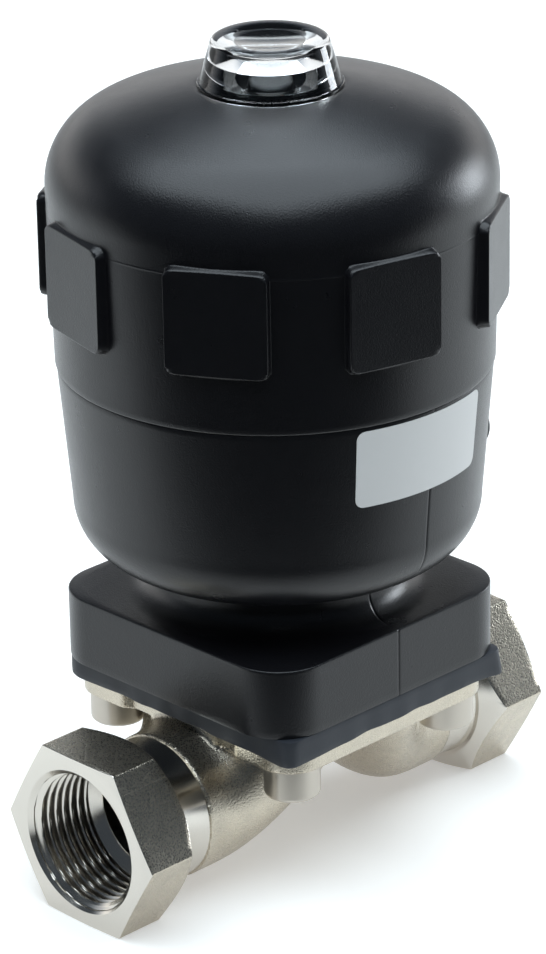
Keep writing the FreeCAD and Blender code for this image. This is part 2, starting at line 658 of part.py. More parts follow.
def actuator_housing():
    foot = foot_profile_top()
    flare = (NECK_WAIST_RADIUS + NECK_FLARE, BONNET_TOP + NECK_FLARE)
    hollow = (NECK_WAIST_RADIUS + NECK_TOP_ROUND, HOUSING_BOTTOM - NECK_TOP_ROUND)
    barrel = turned(
        (0, BONNET_TOP - OVERRUN),
        (flare[0], BONNET_TOP - OVERRUN),
        (flare[0], BONNET_TOP),
        (on_arc(flare, NECK_FLARE, 225), (NECK_WAIST_RADIUS, flare[1])),
        (NECK_WAIST_RADIUS, hollow[1]),
        (on_arc(hollow, NECK_TOP_ROUND, 135), (hollow[0], HOUSING_BOTTOM)),
        (foot[0], HOUSING_BOTTOM),
        (on_arc(foot, HOUSING_FOOT_ROUND, -45), (HOUSING_FOOT_RADIUS, foot[1])),
        (HOUSING_SEAM_RADIUS, SEAM_Z),
        (COLLAR_RADIUS, SEAM_Z),
        (COLLAR_RADIUS, COLLAR_TOP),
        (0, COLLAR_TOP),
    )
    bonnet = rounded_plate(BONNET_SIDE, BONNET_SIDE, BONNET_CORNER, BONNET_BOTTOM, BONNET_TOP)
    bonnet = round_edges(bonnet, BONNET_EDGE_ROUND, at_height(BONNET_TOP))
    boss = along_x(disc(PILOT_BOSS_RADIUS, NECK_WAIST_RADIUS, PILOT_BOSS_END), PILOT_Z)
    housing = barrel.fuse([bonnet, boss])
    groove_z = COLLAR_TOP - COVER_SEAL_DROP
    half = O_RING_SECTION / 2
    groove_floor = COLLAR_RADIUS - O_RING_SECTION
    bush_start = PILOT_BOSS_END - PILOT_BUSH_LENGTH
    cavity = turned(
        (0, BONNET_BOTTOM),
        (BONNET_CAVITY_RADIUS + BONNET_MOUTH, BONNET_BOTTOM),
        (BONNET_CAVITY_RADIUS, BONNET_BOTTOM + BONNET_MOUTH),
        (BONNET_CAVITY_RADIUS, CAVITY_TOP),
        (0, CAVITY_TOP),
    )
    tube = BUSH_RADIUS + GUIDE_TUBE_WALL
    core = ring(tube, BONNET_CAVITY_RADIUS, CAVITY_TOP, CAVITY_TOP + NECK_CORE_DEPTH)
    rib = Part.makeBox(
        BONNET_CAVITY_RADIUS, RIB_THICKNESS, NECK_CORE_DEPTH, V(0, -RIB_THICKNESS / 2, CAVITY_TOP)
    )
    core = core.cut(around(rib, NECK_RIBS))
    cuts = [
        disc(BORE_RADIUS, CYLINDER_FLOOR, COLLAR_TOP),
        cavity,
        core,
        disc(BUSH_RADIUS, CAVITY_TOP, CYLINDER_FLOOR),
        ring(groove_floor, COLLAR_RADIUS + OVERRUN, groove_z - half, groove_z + half),
        along_x(disc(PILOT_ORIFICE_RADIUS, BORE_RADIUS - OVERRUN, PILOT_BOSS_END), PILOT_Z),
        along_x(disc(PILOT_BUSH_RADIUS, bush_start, PILOT_BOSS_END), PILOT_Z),
    ]
    cuts += at_screws(disc(INSERT_RADIUS, BONNET_BOTTOM, BONNET_BOTTOM + INSERT_LENGTH))
    return housing.cut(cuts).removeSplitter()


def cover_o_ring():
    return o_ring(COLLAR_RADIUS - O_RING_SECTION, O_RING_SECTION, COLLAR_TOP - COVER_SEAL_DROP)


def piston_grooves():
    """Floor radius, bottom and top of the piston's two grooves."""
    seal_bottom = PISTON_RIM_BOTTOM + GROOVE_LAND
    seal_top = seal_bottom + SEAL_HEIGHT
    guide_bottom = seal_top + GROOVE_LAND
    return {
        "seal": (PISTON_RADIUS - SEAL_GROOVE_DEPTH, seal_bottom, seal_top),
        "guide": (PISTON_RADIUS - GUIDE_RING_THICKNESS, guide_bottom, guide_bottom + GUIDE_RING_HEIGHT),
    }


def piston():
    bore = SPINDLE_RADIUS - SPINDLE_SHOULDER_STEP
    rim_inner = PISTON_RADIUS - PISTON_RIM_WALL
    body = turned(
        (bore, PISTON_BOTTOM),
        (PISTON_HUB_RADIUS, PISTON_BOTTOM),
        (PISTON_HUB_RADIUS, PISTON_WEB_BOTTOM),
        (rim_inner, PISTON_WEB_BOTTOM),
        (rim_inner + PISTON_RIM_RISE - PISTON_WEB_RISE, PISTON_RIM_BOTTOM),
        (PISTON_RADIUS, PISTON_RIM_BOTTOM),
        (PISTON_RADIUS, PISTON_RIM_BOTTOM + PISTON_RIM_HEIGHT),
        (rim_inner, PISTON_RIM_BOTTOM + PISTON_RIM_HEIGHT),
        (rim_inner, SPRING_FOOT),
        (PISTON_HUB_RADIUS, SPRING_FOOT),
        (PISTON_HUB_RADIUS, PISTON_HUB_TOP),
        (bore, PISTON_HUB_TOP),
    )
    register_inner = INNER_SPRING_RADIUS + INNER_WIRE_RADIUS + SPRING_REGISTER_GAP
    register_outer = OUTER_SPRING_RADIUS - OUTER_WIRE_RADIUS - SPRING_REGISTER_GAP
    register_top = SPRING_FOOT + SPRING_REGISTER_HEIGHT
    body = body.fuse(ring(register_inner, register_outer, SPRING_FOOT - OVERRUN, register_top))
    for floor, bottom, top in piston_grooves().values():
        body = body.cut(ring(floor, PISTON_RADIUS + OVERRUN, bottom, top))
    return body.removeSplitter()


def piston_seal():
    inner, bottom, top = piston_grooves()["seal"]
    outer = BORE_RADIUS - SEAL_GAP
    middle = (inner + outer) / 2
    back = outer - SEAL_BACK_RELIEF
    return turned(
        (inner, bottom),
        (inner, top),
        (back, top),
        (back, bottom + SEAL_BACK_RELIEF),
        (outer, bottom),
        (outer - SEAL_LIP_WIDTH, bottom),
        (middle, bottom + SEAL_LIP_DEPTH),
        (inner + SEAL_LIP_WIDTH, bottom),
    )


def piston_guide_ring():
    inner, bottom, top = piston_grooves()["guide"]
    return ring(inner, BORE_RADIUS - SEAL_GAP, bottom, top)


def piston_washer():
    bore = SPINDLE_RADIUS - SPINDLE_SHOULDER_STEP
    return ring(bore, WASHER_RADIUS, PISTON_HUB_TOP, PISTON_HUB_TOP + WASHER_THICKNESS)


def piston_nut():
    bottom = PISTON_HUB_TOP + WASHER_THICKNESS
    bore = SPINDLE_RADIUS - SPINDLE_SHOULDER_STEP
    corner = NUT_ACROSS_FLATS / math.sqrt(3)
    face = NUT_ACROSS_FLATS / 2 - NUT_CHAMFER
    rise = (corner - face) / math.sqrt(3)
    envelope = turned(
        (bore, bottom),
        (face, bottom),
        (corner, bottom + rise),
        (corner, bottom + NUT_HEIGHT - rise),
        (face, bottom + NUT_HEIGHT),
        (bore, bottom + NUT_HEIGHT),
    )
    return hexagon(NUT_ACROSS_FLATS, NUT_HEIGHT, bottom).common(envelope)


def coil_spring(radius, wire, half_turns):
    """Compression spring of half turns in tilted planes, with a closed turn at both ends."""
    closed_rise = SPRING_END_PITCH * wire
    open_rise = (SPRING_LENGTH - 2 * wire - 4 * closed_rise) / (half_turns - 4)
    z = SPRING_FOOT + wire
    side = 1
    pieces = []
    for half in range(half_turns):
        rise = open_rise if 2 <= half < half_turns - 2 else closed_rise
        section = Part.Face(Part.Wire(Part.makeCircle(wire, V(side * radius, 0, z), V(0, 1, 0))))
        tilted_axis = V(side * rise / 2, 0, radius)
        pieces.append(section.revolve(V(0, 0, z + rise / 2), tilted_axis, 180))
        z += rise
        side = -side
    return pieces[0].fuse(pieces[1:])


def spring_outer():
    return coil_spring(OUTER_SPRING_RADIUS, OUTER_WIRE_RADIUS, OUTER_SPRING_HALF_TURNS)


def spring_inner():
    return coil_spring(INNER_SPRING_RADIUS, INNER_WIRE_RADIUS, INNER_SPRING_HALF_TURNS)


def spring_seat():
    tube = INDICATOR_RADIUS + INDICATOR_GAP + COVER_TUBE_WALL
    seat = turned(
        (tube + SOFT_GAP, SPRING_TOP),
        (SPRING_SEAT_RADIUS, SPRING_TOP),
        (SPRING_SEAT_RADIUS, SPRING_TOP - SPRING_SEAT_LIP),
        (SPRING_SEAT_RADIUS + SPRING_SEAT_THICKNESS, SPRING_TOP - SPRING_SEAT_LIP),
        (SPRING_SEAT_RADIUS + SPRING_SEAT_THICKNESS, SEAT_TOP),
        (tube + SOFT_GAP, SEAT_TOP),
    )
    return round_edges(seat, SPRING_SEAT_ROUND, lambda edge: at_height(SEAT_TOP)(edge)
                       and edge.BoundBox.XMax > SPRING_SEAT_RADIUS)


def grip_pad():
    """One flat pad on the cover's side, facing +X, with rounded corners and drafted sides."""
    root = rounded_outline(
        PAD_HEIGHT + 2 * PAD_DRAFT,
        PAD_WIDTH + 2 * PAD_DRAFT,
        PAD_CORNER + PAD_DRAFT,
        PAD_ROOT_DISTANCE,
    )
    face = rounded_outline(PAD_HEIGHT, PAD_WIDTH, PAD_CORNER, PAD_FACE_DISTANCE)
    pad = Part.makeLoft([root, face], True, True)
    pad = round_edges(pad, PAD_EDGE_ROUND, at_height(PAD_FACE_DISTANCE))
    return along_x(pad, SEAM_Z + PAD_FOOT + PAD_HEIGHT / 2)


def dome(wall):
    """The cover's outer form, or its hollow when a wall is taken off."""
    shoulder = (SHOULDER_CENTRE_R, SHOULDER_Z)
    rounding = COVER_SHOULDER_ROUND - wall
    crown = COVER_CROWN_RADIUS - wall
    tangent = math.degrees(math.atan2(SHOULDER_Z - CROWN_CENTRE_Z, SHOULDER_CENTRE_R))
    peak = CROWN_CENTRE_Z + crown
    middle_angle = (tangent + 90) / 2
    return turned(
        (0, SEAM_Z),
        (COVER_SEAM_RADIUS - wall, SEAM_Z),
        (COVER_SHOULDER_RADIUS - wall, SHOULDER_Z),
        (on_arc(shoulder, rounding, tangent / 2), on_arc(shoulder, rounding, tangent)),
        (on_arc((0, CROWN_CENTRE_Z), crown, middle_angle), (0, peak)),
    )


def actuator_cover():
    thread = COLLAR_RADIUS + COVER_THREAD_GAP
    guide = INDICATOR_RADIUS + INDICATOR_GAP
    tube = guide + COVER_TUBE_WALL
    socket = CAP_SPIGOT_RADIUS + CAP_SPIGOT_GAP
    hollow = dome(COVER_WALL)
    skirt = ring(thread, COVER_SEAM_RADIUS, SEAM_Z, COLLAR_TOP + OVERRUN)
    rib = Part.makeBox(
        COVER_RIB_REACH,
        COVER_RIB_THICKNESS,
        CAP_TOP - SEAT_TOP,
        V(0, -COVER_RIB_THICKNESS / 2, SEAT_TOP),
    )
    inside = [
        disc(tube, SPRING_TOP, CAP_TOP),
        disc(socket + COVER_TUBE_WALL, SPIGOT_BOTTOM - COVER_TUBE_WALL, CAP_TOP),
    ]
    inside += around(rib, COVER_RIBS)
    inside = [piece.common(hollow) for piece in inside]
    shell = dome(0).cut(hollow).fuse([skirt] + inside)
    shell = shell.fuse(around(grip_pad(), PAD_COUNT, PAD_FIRST_ANGLE))
    gland = CAP_BASE - CAP_BASE_LIP - O_RING_SECTION
    cuts = [
        disc(LAND_RADIUS, CAP_BASE, CAP_TOP),
        disc(guide, SPRING_TOP - OVERRUN, CAP_BASE),
        disc(socket, SPIGOT_BOTTOM, CAP_BASE),
        disc(CAP_SPIGOT_RADIUS + O_RING_SECTION, gland, gland + O_RING_SECTION),
    ]
    return shell.cut(cuts).removeSplitter()


def cap_o_ring():
    gland = CAP_BASE - CAP_BASE_LIP - O_RING_SECTION
    return o_ring(CAP_SPIGOT_RADIUS, O_RING_SECTION, gland + O_RING_SECTION / 2)


def indicator_cap():
    cone_foot = CAP_BASE_RADIUS - CAP_LIP_STEP
    cap = turned(
        (0, SPIGOT_BOTTOM),
        (CAP_SPIGOT_RADIUS, SPIGOT_BOTTOM),
        (CAP_SPIGOT_RADIUS, CAP_BASE),
        (CAP_BASE_RADIUS, CAP_BASE),
        (CAP_BASE_RADIUS, CAP_BASE + CAP_BASE_LIP),
        (cone_foot, CAP_BASE + CAP_BASE_LIP),
        (CAP_TOP_RADIUS, CAP_TOP),
        (0, CAP_TOP),
    )
    cap = round_edges(cap, CAP_EDGE_ROUND, at_height(CAP_TOP))
    sphere_radius = (CAP_DISH_RADIUS ** 2 + CAP_DISH_DEPTH ** 2) / (2 * CAP_DISH_DEPTH)
    dish = Part.makeSphere(sphere_radius, V(0, 0, CAP_TOP - CAP_DISH_DEPTH + sphere_radius))
    window = turned(
        (0, SPIGOT_BOTTOM),
        (CAP_BORE_RADIUS, SPIGOT_BOTTOM),
        (CAP_BORE_RADIUS, CAP_BASE),
        (CAP_WINDOW_RADIUS, CAP_BASE + CAP_BASE_LIP),
        (CAP_WINDOW_RADIUS, CAP_BASE + CAP_WINDOW_DEPTH),
        (CAP_BORE_RADIUS, CAP_CEILING),
        (0, CAP_CEILING),
    )
    return cap.cut([dish, window])


def position_indicator():
    bottom = INDICATOR_TOP - INDICATOR_LENGTH
    body = disc(INDICATOR_RADIUS, bottom, INDICATOR_TOP)
    body = round_edges(body, INDICATOR_EDGE_ROUND, at_height(INDICATOR_TOP))
    return body.cut(disc(INDICATOR_ROD_RADIUS, bottom, bottom + INDICATOR_GRIP))


def pilot_bush():
    start = PILOT_BOSS_END - PILOT_BUSH_LENGTH
    return along_x(ring(PILOT_THREAD_RADIUS, PILOT_BUSH_RADIUS, start, PILOT_BOSS_END), PILOT_Z)


def fitting_levels():
    """Distances from the valve's axis along the fitting: flange, tube stop, collet seat."""
    flange = PILOT_BOSS_END + FITTING_SEAL_SECTION
    tube_stop = FITTING_END - TUBE_DEPTH
    collet_seat = FITTING_END - COLLET_DEPTH
    return flange, tube_stop, collet_seat


def pilot_fitting():
    flange, tube_stop, collet_seat = fitting_levels()
    thread_start = PILOT_BOSS_END - PILOT_THREAD_LENGTH
    socket = COLLET_RADIUS + COLLET_GAP
    body = turned(
        (PILOT_ORIFICE_RADIUS, thread_start),
        (PILOT_THREAD_RADIUS, thread_start),
        (PILOT_THREAD_RADIUS, flange),
        (FITTING_RADIUS, flange),
        (FITTING_RADIUS, FITTING_END),
        (socket, FITTING_END),
        (socket, collet_seat),
        (TUBE_RADIUS, collet_seat),
        (TUBE_RADIUS, tube_stop),
        (PILOT_ORIFICE_RADIUS, tube_stop),
    )
    body = round_edges(body, FITTING_EDGE_ROUND, lambda edge: at_height(FITTING_END)(edge)
                       and edge.BoundBox.XMax > socket + COLLET_GAP)
    return along_x(body, PILOT_Z)


def pilot_fitting_seal():
    middle = PILOT_BOSS_END + FITTING_SEAL_SECTION / 2
    return along_x(o_ring(PILOT_THREAD_RADIUS, FITTING_SEAL_SECTION, middle), PILOT_Z)


def pilot_collet():
    seat = fitting_levels()[2]
    inner = TUBE_RADIUS + COLLET_GAP
    head_start = FITTING_END + COLLET_STROKE + COLLET_GAP
    collet = turned(
        (inner, seat + COLLET_STROKE + COLLET_GAP),
        (COLLET_RADIUS, seat + COLLET_STROKE + COLLET_GAP),
        (COLLET_RADIUS, head_start),
        (COLLET_HEAD_RADIUS, head_start),
        (COLLET_HEAD_RADIUS, head_start + COLLET_HEAD_THICKNESS),
        (inner, head_start + COLLET_HEAD_THICKNESS),
    )
    return along_x(collet, PILOT_Z)


NODES = {
    "valve_body": valve_body,
    "body_screws": body_screws,
    "thread_inserts": thread_inserts,
    "diaphragm": diaphragm,
    "diaphragm_stud": lambda: stud_profile(0),
    "compressor": compressor,
    "compressor_pin": compressor_pin,
    "spindle": spindle,
    "guide_bush": guide_bush,
    "spindle_o_rings": spindle_o_rings,
    "spindle_wiper": spindle_wiper,
    "actuator_housing": actuator_housing,
    "cover_o_ring": cover_o_ring,
    "piston": piston,
    "piston_seal": piston_seal,
    "piston_guide_ring": piston_guide_ring,
    "piston_washer": piston_washer,
    "piston_nut": piston_nut,
    "spring_outer": spring_outer,
    "spring_inner": spring_inner,
    "spring_seat": spring_seat,
    "actuator_cover": actuator_cover,
    "cap_o_ring": cap_o_ring,
    "indicator_cap": indicator_cap,
    "position_indicator": position_indicator,
    "pilot_bush": pilot_bush,
    "pilot_fitting": pilot_fitting,
    "pilot_fitting_seal": pilot_fitting_seal,
    "pilot_collet": pilot_collet,
}

os.makedirs("parts", exist_ok=True)
for name, make in NODES.items():
    made = make()
    shape = Part.makeCompound(made) if isinstance(made, list) else made
    solids = shape.Solids
    whole = solids[0] if len(solids) == 1 else Part.makeCompound(solids)
    whole.exportStep("parts/" + name + ".step")
    print(f"{name}: {len(solids)} solid, {whole.Volume / 1000:.2f} cm3, valid {whole.isValid()}")
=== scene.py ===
"""A weir-type diaphragm valve with a spring-closed piston actuator, dressed around its frame.

The sections follow the valve from the pipe upwards: cast body, screws, diaphragm, housing, cover,
cap, and then what sits inside. Lengths are millimetres until a mesh is made.
"""
import math

import bpy
import numpy as np
from mathutils import Matrix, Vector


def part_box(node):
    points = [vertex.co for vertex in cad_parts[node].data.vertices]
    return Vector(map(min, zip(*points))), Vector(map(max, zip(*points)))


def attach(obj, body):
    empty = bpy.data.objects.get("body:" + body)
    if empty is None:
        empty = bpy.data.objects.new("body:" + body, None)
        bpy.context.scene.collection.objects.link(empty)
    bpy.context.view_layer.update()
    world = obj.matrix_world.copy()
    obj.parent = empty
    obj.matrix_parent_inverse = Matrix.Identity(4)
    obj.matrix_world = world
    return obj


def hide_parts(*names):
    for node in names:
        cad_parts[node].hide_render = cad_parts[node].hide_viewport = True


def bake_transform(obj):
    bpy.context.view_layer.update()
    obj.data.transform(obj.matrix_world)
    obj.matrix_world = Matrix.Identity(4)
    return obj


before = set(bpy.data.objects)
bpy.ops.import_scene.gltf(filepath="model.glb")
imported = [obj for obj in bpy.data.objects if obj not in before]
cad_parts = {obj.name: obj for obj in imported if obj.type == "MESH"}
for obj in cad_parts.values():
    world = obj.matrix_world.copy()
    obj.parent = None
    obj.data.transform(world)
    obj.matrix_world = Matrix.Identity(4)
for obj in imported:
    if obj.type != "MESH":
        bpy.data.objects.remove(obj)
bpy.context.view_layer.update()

# Camera: the photograph's own station, from a fit to the edges that the picture shows.
# The place is in metres, the turns in degrees, the focal length and centre in picture pixels.
CAMERA_PLACE = (-0.69255, -0.70233, 0.50975)
CAMERA_AZIMUTH = -44.544
CAMERA_ELEVATION = 23.087
CAMERA_ROLL = -1.024
FOCAL_PIXELS = 4681.2
PICTURE_SIZE = (546, 954)
PICTURE_CENTRE = (273.5, 479.6)
SENSOR_WIDTH = 36.0

azimuth = math.radians(CAMERA_AZIMUTH)
elevation = math.radians(CAMERA_ELEVATION)
roll = math.radians(CAMERA_ROLL)
back = np.array([
    math.sin(azimuth) * math.cos(elevation),
    -math.cos(azimuth) * math.cos(elevation),
    math.sin(elevation),
])
level_right = np.array([math.cos(azimuth), math.sin(azimuth), 0.0])
level_up = np.cross(back, level_right)
right = level_right * math.cos(roll) + level_up * math.sin(roll)
up = level_up * math.cos(roll) - level_right * math.sin(roll)
camera_data = bpy.data.cameras.new("camera")
camera_data.sensor_width = SENSOR_WIDTH
camera_data.lens = FOCAL_PIXELS / PICTURE_SIZE[1] * SENSOR_WIDTH
camera_data.shift_x = (PICTURE_SIZE[0] / 2 - PICTURE_CENTRE[0]) / PICTURE_SIZE[1]
camera_data.shift_y = (PICTURE_CENTRE[1] - PICTURE_SIZE[1] / 2) / PICTURE_SIZE[1]
camera_data.clip_start = 0.01
camera_data.clip_end = 100.0
camera = bpy.data.objects.new("camera", camera_data)
axes = np.column_stack([right, up, back])
camera.matrix_world = Matrix.Translation(CAMERA_PLACE) @ Matrix(axes.tolist()).to_4x4()
bpy.context.scene.collection.objects.link(camera)
bpy.context.scene.camera = camera
bpy.context.scene.view_settings.view_transform = "Standard"


def add_node(tree, kind, inputs=None, **settings):
    """Add a node with its settings; an input is a value, or another node's output to link."""
    node = tree.nodes.new(kind)
    for key, value in settings.items():
        setattr(node, key, value)
    for socket, value in (inputs or {}).items():
        if isinstance(value, bpy.types.NodeSocket):
            tree.links.new(value, node.inputs[socket])
        else:
            node.inputs[socket].default_value = value
    return node


def colour(code):
    """Linear colour, with an alpha of one, of an sRGB hex value such as 8A8F94."""
    channels = np.array([int(code[i:i + 2], 16) for i in (0, 2, 4)]) / 255
    linear = np.where(channels > 0.04045, ((channels + 0.055) / 1.055) ** 2.4, channels / 12.92)
    return (*linear.tolist(), 1.0)


# Floor: matt white studio paper under the valve. It keeps the shadow, and rays from the camera,
# from gloss and through glass see it glow a little, so that it reads as white.
FLOOR_RADIUS = 12.0
FLOOR_WHITE = "F6F4F0"
FLOOR_GLOW = 0.30

floor_material = bpy.data.materials.new("studio_paper")
floor_material.use_nodes = True
tree = floor_material.node_tree
tree.nodes.clear()
paper = add_node(tree, "ShaderNodeBsdfDiffuse", {"Color": colour(FLOOR_WHITE)})
path = add_node(tree, "ShaderNodeLightPath")
seen = add_node(tree, "ShaderNodeMath", {0: path.outputs["Is Camera Ray"],
                                         1: path.outputs["Is Glossy Ray"]}, operation="MAXIMUM")
seen = add_node(tree, "ShaderNodeMath", {0: seen.outputs[0],
                                         1: path.outputs["Is Transmission Ray"]},
                operation="MAXIMUM")
strength = add_node(tree, "ShaderNodeMath", {0: seen.outputs[0], 1: FLOOR_GLOW},
                    operation="MULTIPLY")
glow = add_node(tree, "ShaderNodeEmission", {"Strength": strength.outputs[0]})
both = add_node(tree, "ShaderNodeAddShader", {0: paper.outputs[0], 1: glow.outputs[0]})
# In gloss the paper is a little darker, and it fades to black from about 5 to 17 cm in front of
# the valve's middle, because the front sides of the real valve mirror a dark studio.
PAPER_IN_GLOSS = 0.82
FADE_START = 0.05
FADE_END = 0.16
place = add_node(tree, "ShaderNodeTexCoord")
ahead = add_node(tree, "ShaderNodeVectorMath", {0: place.outputs["Object"],
                                                1: (back[0], back[1], 0.0)},
                 operation="DOT_PRODUCT")
front = add_node(tree, "ShaderNodeMapRange", {"Value": ahead.outputs["Value"],
                                              "From Min": FADE_START, "From Max": FADE_END,
                                              "To Min": 1 - PAPER_IN_GLOSS},
                 interpolation_type="SMOOTHSTEP")
unlit = add_node(tree, "ShaderNodeMath", {0: front.outputs[0], 1: path.outputs["Is Glossy Ray"]},
                 operation="MULTIPLY")
both = add_node(tree, "ShaderNodeMixShader", {0: unlit.outputs[0], 1: both.outputs[0]})
add_node(tree, "ShaderNodeOutputMaterial", {"Surface": both.outputs[0]})

turn = np.linspace(0, 2 * np.pi, 48, endpoint=False)
floor_mesh = bpy.data.meshes.new("floor")
floor_mesh.from_pydata(
    np.column_stack([np.cos(turn), np.sin(turn), 0 * turn]) * FLOOR_RADIUS, [], [range(48)]
)
floor_mesh.materials.append(floor_material)
floor = bpy.data.objects.new("floor", floor_mesh)
bpy.context.scene.collection.objects.link(floor)

# World: white for the camera. Any other ray meets a dim, cool studio with a white backdrop behind
# the valve, which gives the metal its dark and light sides. The backdrop fades in as a ray turns
# away from the camera and as its rise falls, but glass sees it at any height.
STUDIO_DIM = 0.08
STUDIO_TINT = "CFE2F8"
BACKDROP_LEVEL = 1.2
BACKDROP_SIDES = (-0.05, 0.55)
BACKDROP_EDGE = (0.43, 0.18)

world = bpy.data.worlds.new("studio")
world.use_nodes = True
tree = world.node_tree
tree.nodes.clear()
direction = add_node(tree, "ShaderNodeTexCoord")
behind = add_node(tree, "ShaderNodeVectorMath", {0: direction.outputs["Generated"],
                                                 1: (-back[0], -back[1], 0.0)},
                  operation="DOT_PRODUCT")
split = add_node(tree, "ShaderNodeSeparateXYZ", {0: direction.outputs["Generated"]})
width = add_node(tree, "ShaderNodeMapRange", {"Value": behind.outputs["Value"],
                                              "From Min": BACKDROP_SIDES[0],
                                              "From Max": BACKDROP_SIDES[1]},
                 interpolation_type="SMOOTHSTEP")
height = add_node(tree, "ShaderNodeMapRange", {"Value": split.outputs["Z"],
                                               "From Min": BACKDROP_EDGE[0],
                                               "From Max": BACKDROP_EDGE[1]},
                  interpolation_type="SMOOTHSTEP")
path = add_node(tree, "ShaderNodeLightPath")
height = add_node(tree, "ShaderNodeMath", {0: height.outputs[0],
                                           1: path.outputs["Is Transmission Ray"]},
                  operation="MAXIMUM")
backdrop = add_node(tree, "ShaderNodeMath", {0: width.outputs[0], 1: height.outputs[0]},
                    operation="MULTIPLY")
level = add_node(tree, "ShaderNodeMapRange", {"Value": backdrop.outputs[0],
                                              "To Min": STUDIO_DIM, "To Max": BACKDROP_LEVEL})
level = add_node(tree, "ShaderNodeMath", {0: level.outputs[0],
                                          1: path.outputs["Is Camera Ray"]}, operation="MAXIMUM")
white = add_node(tree, "ShaderNodeMath", {0: backdrop.outputs[0],
                                          1: path.outputs["Is Camera Ray"]}, operation="MAXIMUM")
cast = add_node(tree, "ShaderNodeMix", {"Factor": white.outputs[0], "A": colour(STUDIO_TINT),
                                        "B": colour("FFFFFF")}, data_type="RGBA")
sky = add_node(tree, "ShaderNodeBackground", {"Color": cast.outputs["Result"],
                                              "Strength": level.outputs[0]})
add_node(tree, "ShaderNodeOutputWorld", {"Surface": sky.outputs[0]})
bpy.context.scene.world = world


def add_lamp(name, place, target, size, radiance, tint):
    """Square softbox of a side in metres; its power is radiance times pi times its area."""
    data = bpy.data.lights.new(name, "AREA")
    data.size = size
    data.energy = radiance * math.pi * size ** 2
    data.color = colour(tint)[:3]
    lamp = bpy.data.objects.new(name, data)
    away = np.array(place) - np.array(target)
    away = away / np.linalg.norm(away)
    side = np.cross((0.0, 1.0, 0.001), away)
    side = side / np.linalg.norm(side)
    turned = np.column_stack([side, np.cross(away, side), away])
    lamp.matrix_world = Matrix.Translation(place) @ Matrix(turned.tolist()).to_4x4()
    bpy.context.scene.collection.objects.link(lamp)


# Lamps: a large softbox overhead and a small strong one low at the right, both a little cool
add_lamp("overhead_softbox", (0.0, -0.05, 1.20), (0, 0, 0.1), 1.80, 3.1, "EAF6FF")
add_lamp("right_softbox", (1.14, -0.34, 0.25), (0, 0, 0.16), 0.40, 8.8, "F0F8FF")

# Valve body: one investment casting in stainless steel, 1.4435 or like it, blasted and pickled.
# Its two hexagon ends are faced, chamfered and threaded on a lathe, and the flange is milled.
MM = 0.001
PIPE_Z = 20.5
BODY_END = 65.0
HEX_FLATS = 41.0
HEX_LENGTH = 16.8
HEX_CORNER_ROUND = 0.5
FACE_RADIUS = 20.2
OUTER_CHAMFER_SLOPE = 0.12
SHOULDER_RADIUS = 18.4
INNER_CHAMFER_SLOPE = 0.76
NECK_RADIUS = 16.85
NECK_END = 40.0
CAST_STEP = 0.45
WALL = 4.2
THREAD_PITCH = 2.309
THREAD_MAJOR = 16.62
THREAD_DEPTH = 1.35
THREAD_LENGTH = 16.5
THREAD_RUNOUT = 2.4
THREAD_FLAT = 0.14
THREAD_ROWS = 18
MOUTH_CHAMFER = 0.7


def grid_quads(rows, columns, wrap_rows=True):
    """Quads of a grid whose point (row, column) has the number row * columns + column.

    The columns wrap round, and so do the rows unless wrap_rows is off.
    """
    i = np.arange(rows if wrap_rows else rows - 1)[:, None]
    j = np.arange(columns)[None, :]
    next_i, next_j = (i + 1) % rows, (j + 1) % columns
    corners = [i * columns + j, i * columns + next_j, next_i * columns + next_j,
               next_i * columns + j]
    return np.stack(corners, axis=-1).reshape(-1, 4)


def outward(points, quads):
    """Turn the quads of a closed shell round if its signed volume is negative."""
    a, b, c, d = (points[quads[:, k]] for k in range(4))
    volume = np.einsum("ij,ij->", a, np.cross(b, c)) + np.einsum("ij,ij->", a, np.cross(c, d))
    return quads if volume > 0 else quads[:, ::-1]


def make_piece(name, points, quads, body, material, smooth_angle=32.0):
    """Mesh object in metres from points in millimetres; it rides on a body."""
    mesh = bpy.data.meshes.new(name)
    mesh.vertices.add(len(points))
    mesh.vertices.foreach_set("co", (np.asarray(points) * MM).ravel())
    mesh.loops.add(quads.size)
    mesh.loops.foreach_set("vertex_index", quads.ravel())
    mesh.polygons.add(len(quads))
    mesh.polygons.foreach_set("loop_start", np.arange(0, quads.size, 4))
    mesh.update(calc_edges=True)
    mesh.validate()
    mesh.polygons.foreach_set("use_smooth", np.ones(len(mesh.polygons), bool))
    mesh.set_sharp_from_angle(angle=math.radians(smooth_angle))
    mesh.materials.append(material)
    piece = bpy.data.objects.new(name, mesh)
    bpy.context.scene.collection.objects.link(piece)
    if body:
        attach(piece, body)
    return piece


def ring_shell(grid):
    """Points and quads of a grid of points that wraps round both ways."""
    points = grid.reshape(-1, 3)
    return points, outward(points, grid_quads(*grid.shape[:2]))


# Cast stainless steel, blasted and pickled: a matt light grey skin of tiny pits and facets, each
# a few tenths of a millimetre wide, that sparkle where the light is hard.
cast_steel = bpy.data.materials.new("cast_stainless_steel")
cast_steel.use_nodes = True
tree = cast_steel.node_tree
shader = tree.nodes["Principled BSDF"]
shader.inputs["Metallic"].default_value = 1.0
place = add_node(tree, "ShaderNodeTexCoord")
CAST_PIT = 0.45
CAST_WAVE = 4.0
pits = add_node(tree, "ShaderNodeTexVoronoi", {"Vector": place.outputs["Object"],
                                               "Scale": 1000 / CAST_PIT})
waves = add_node(tree, "ShaderNodeTexNoise", {"Vector": place.outputs["Object"],
                                              "Scale": 1000 / CAST_WAVE, "Detail": 3.0})
tint = add_node(tree, "ShaderNodeMix", {"Factor": waves.outputs["Fac"],
                                        "A": colour("BDB6A8"), "B": colour("D8CEBC")},
                data_type="RGBA")
tree.links.new(tint.outputs["Result"], shader.inputs["Base Color"])
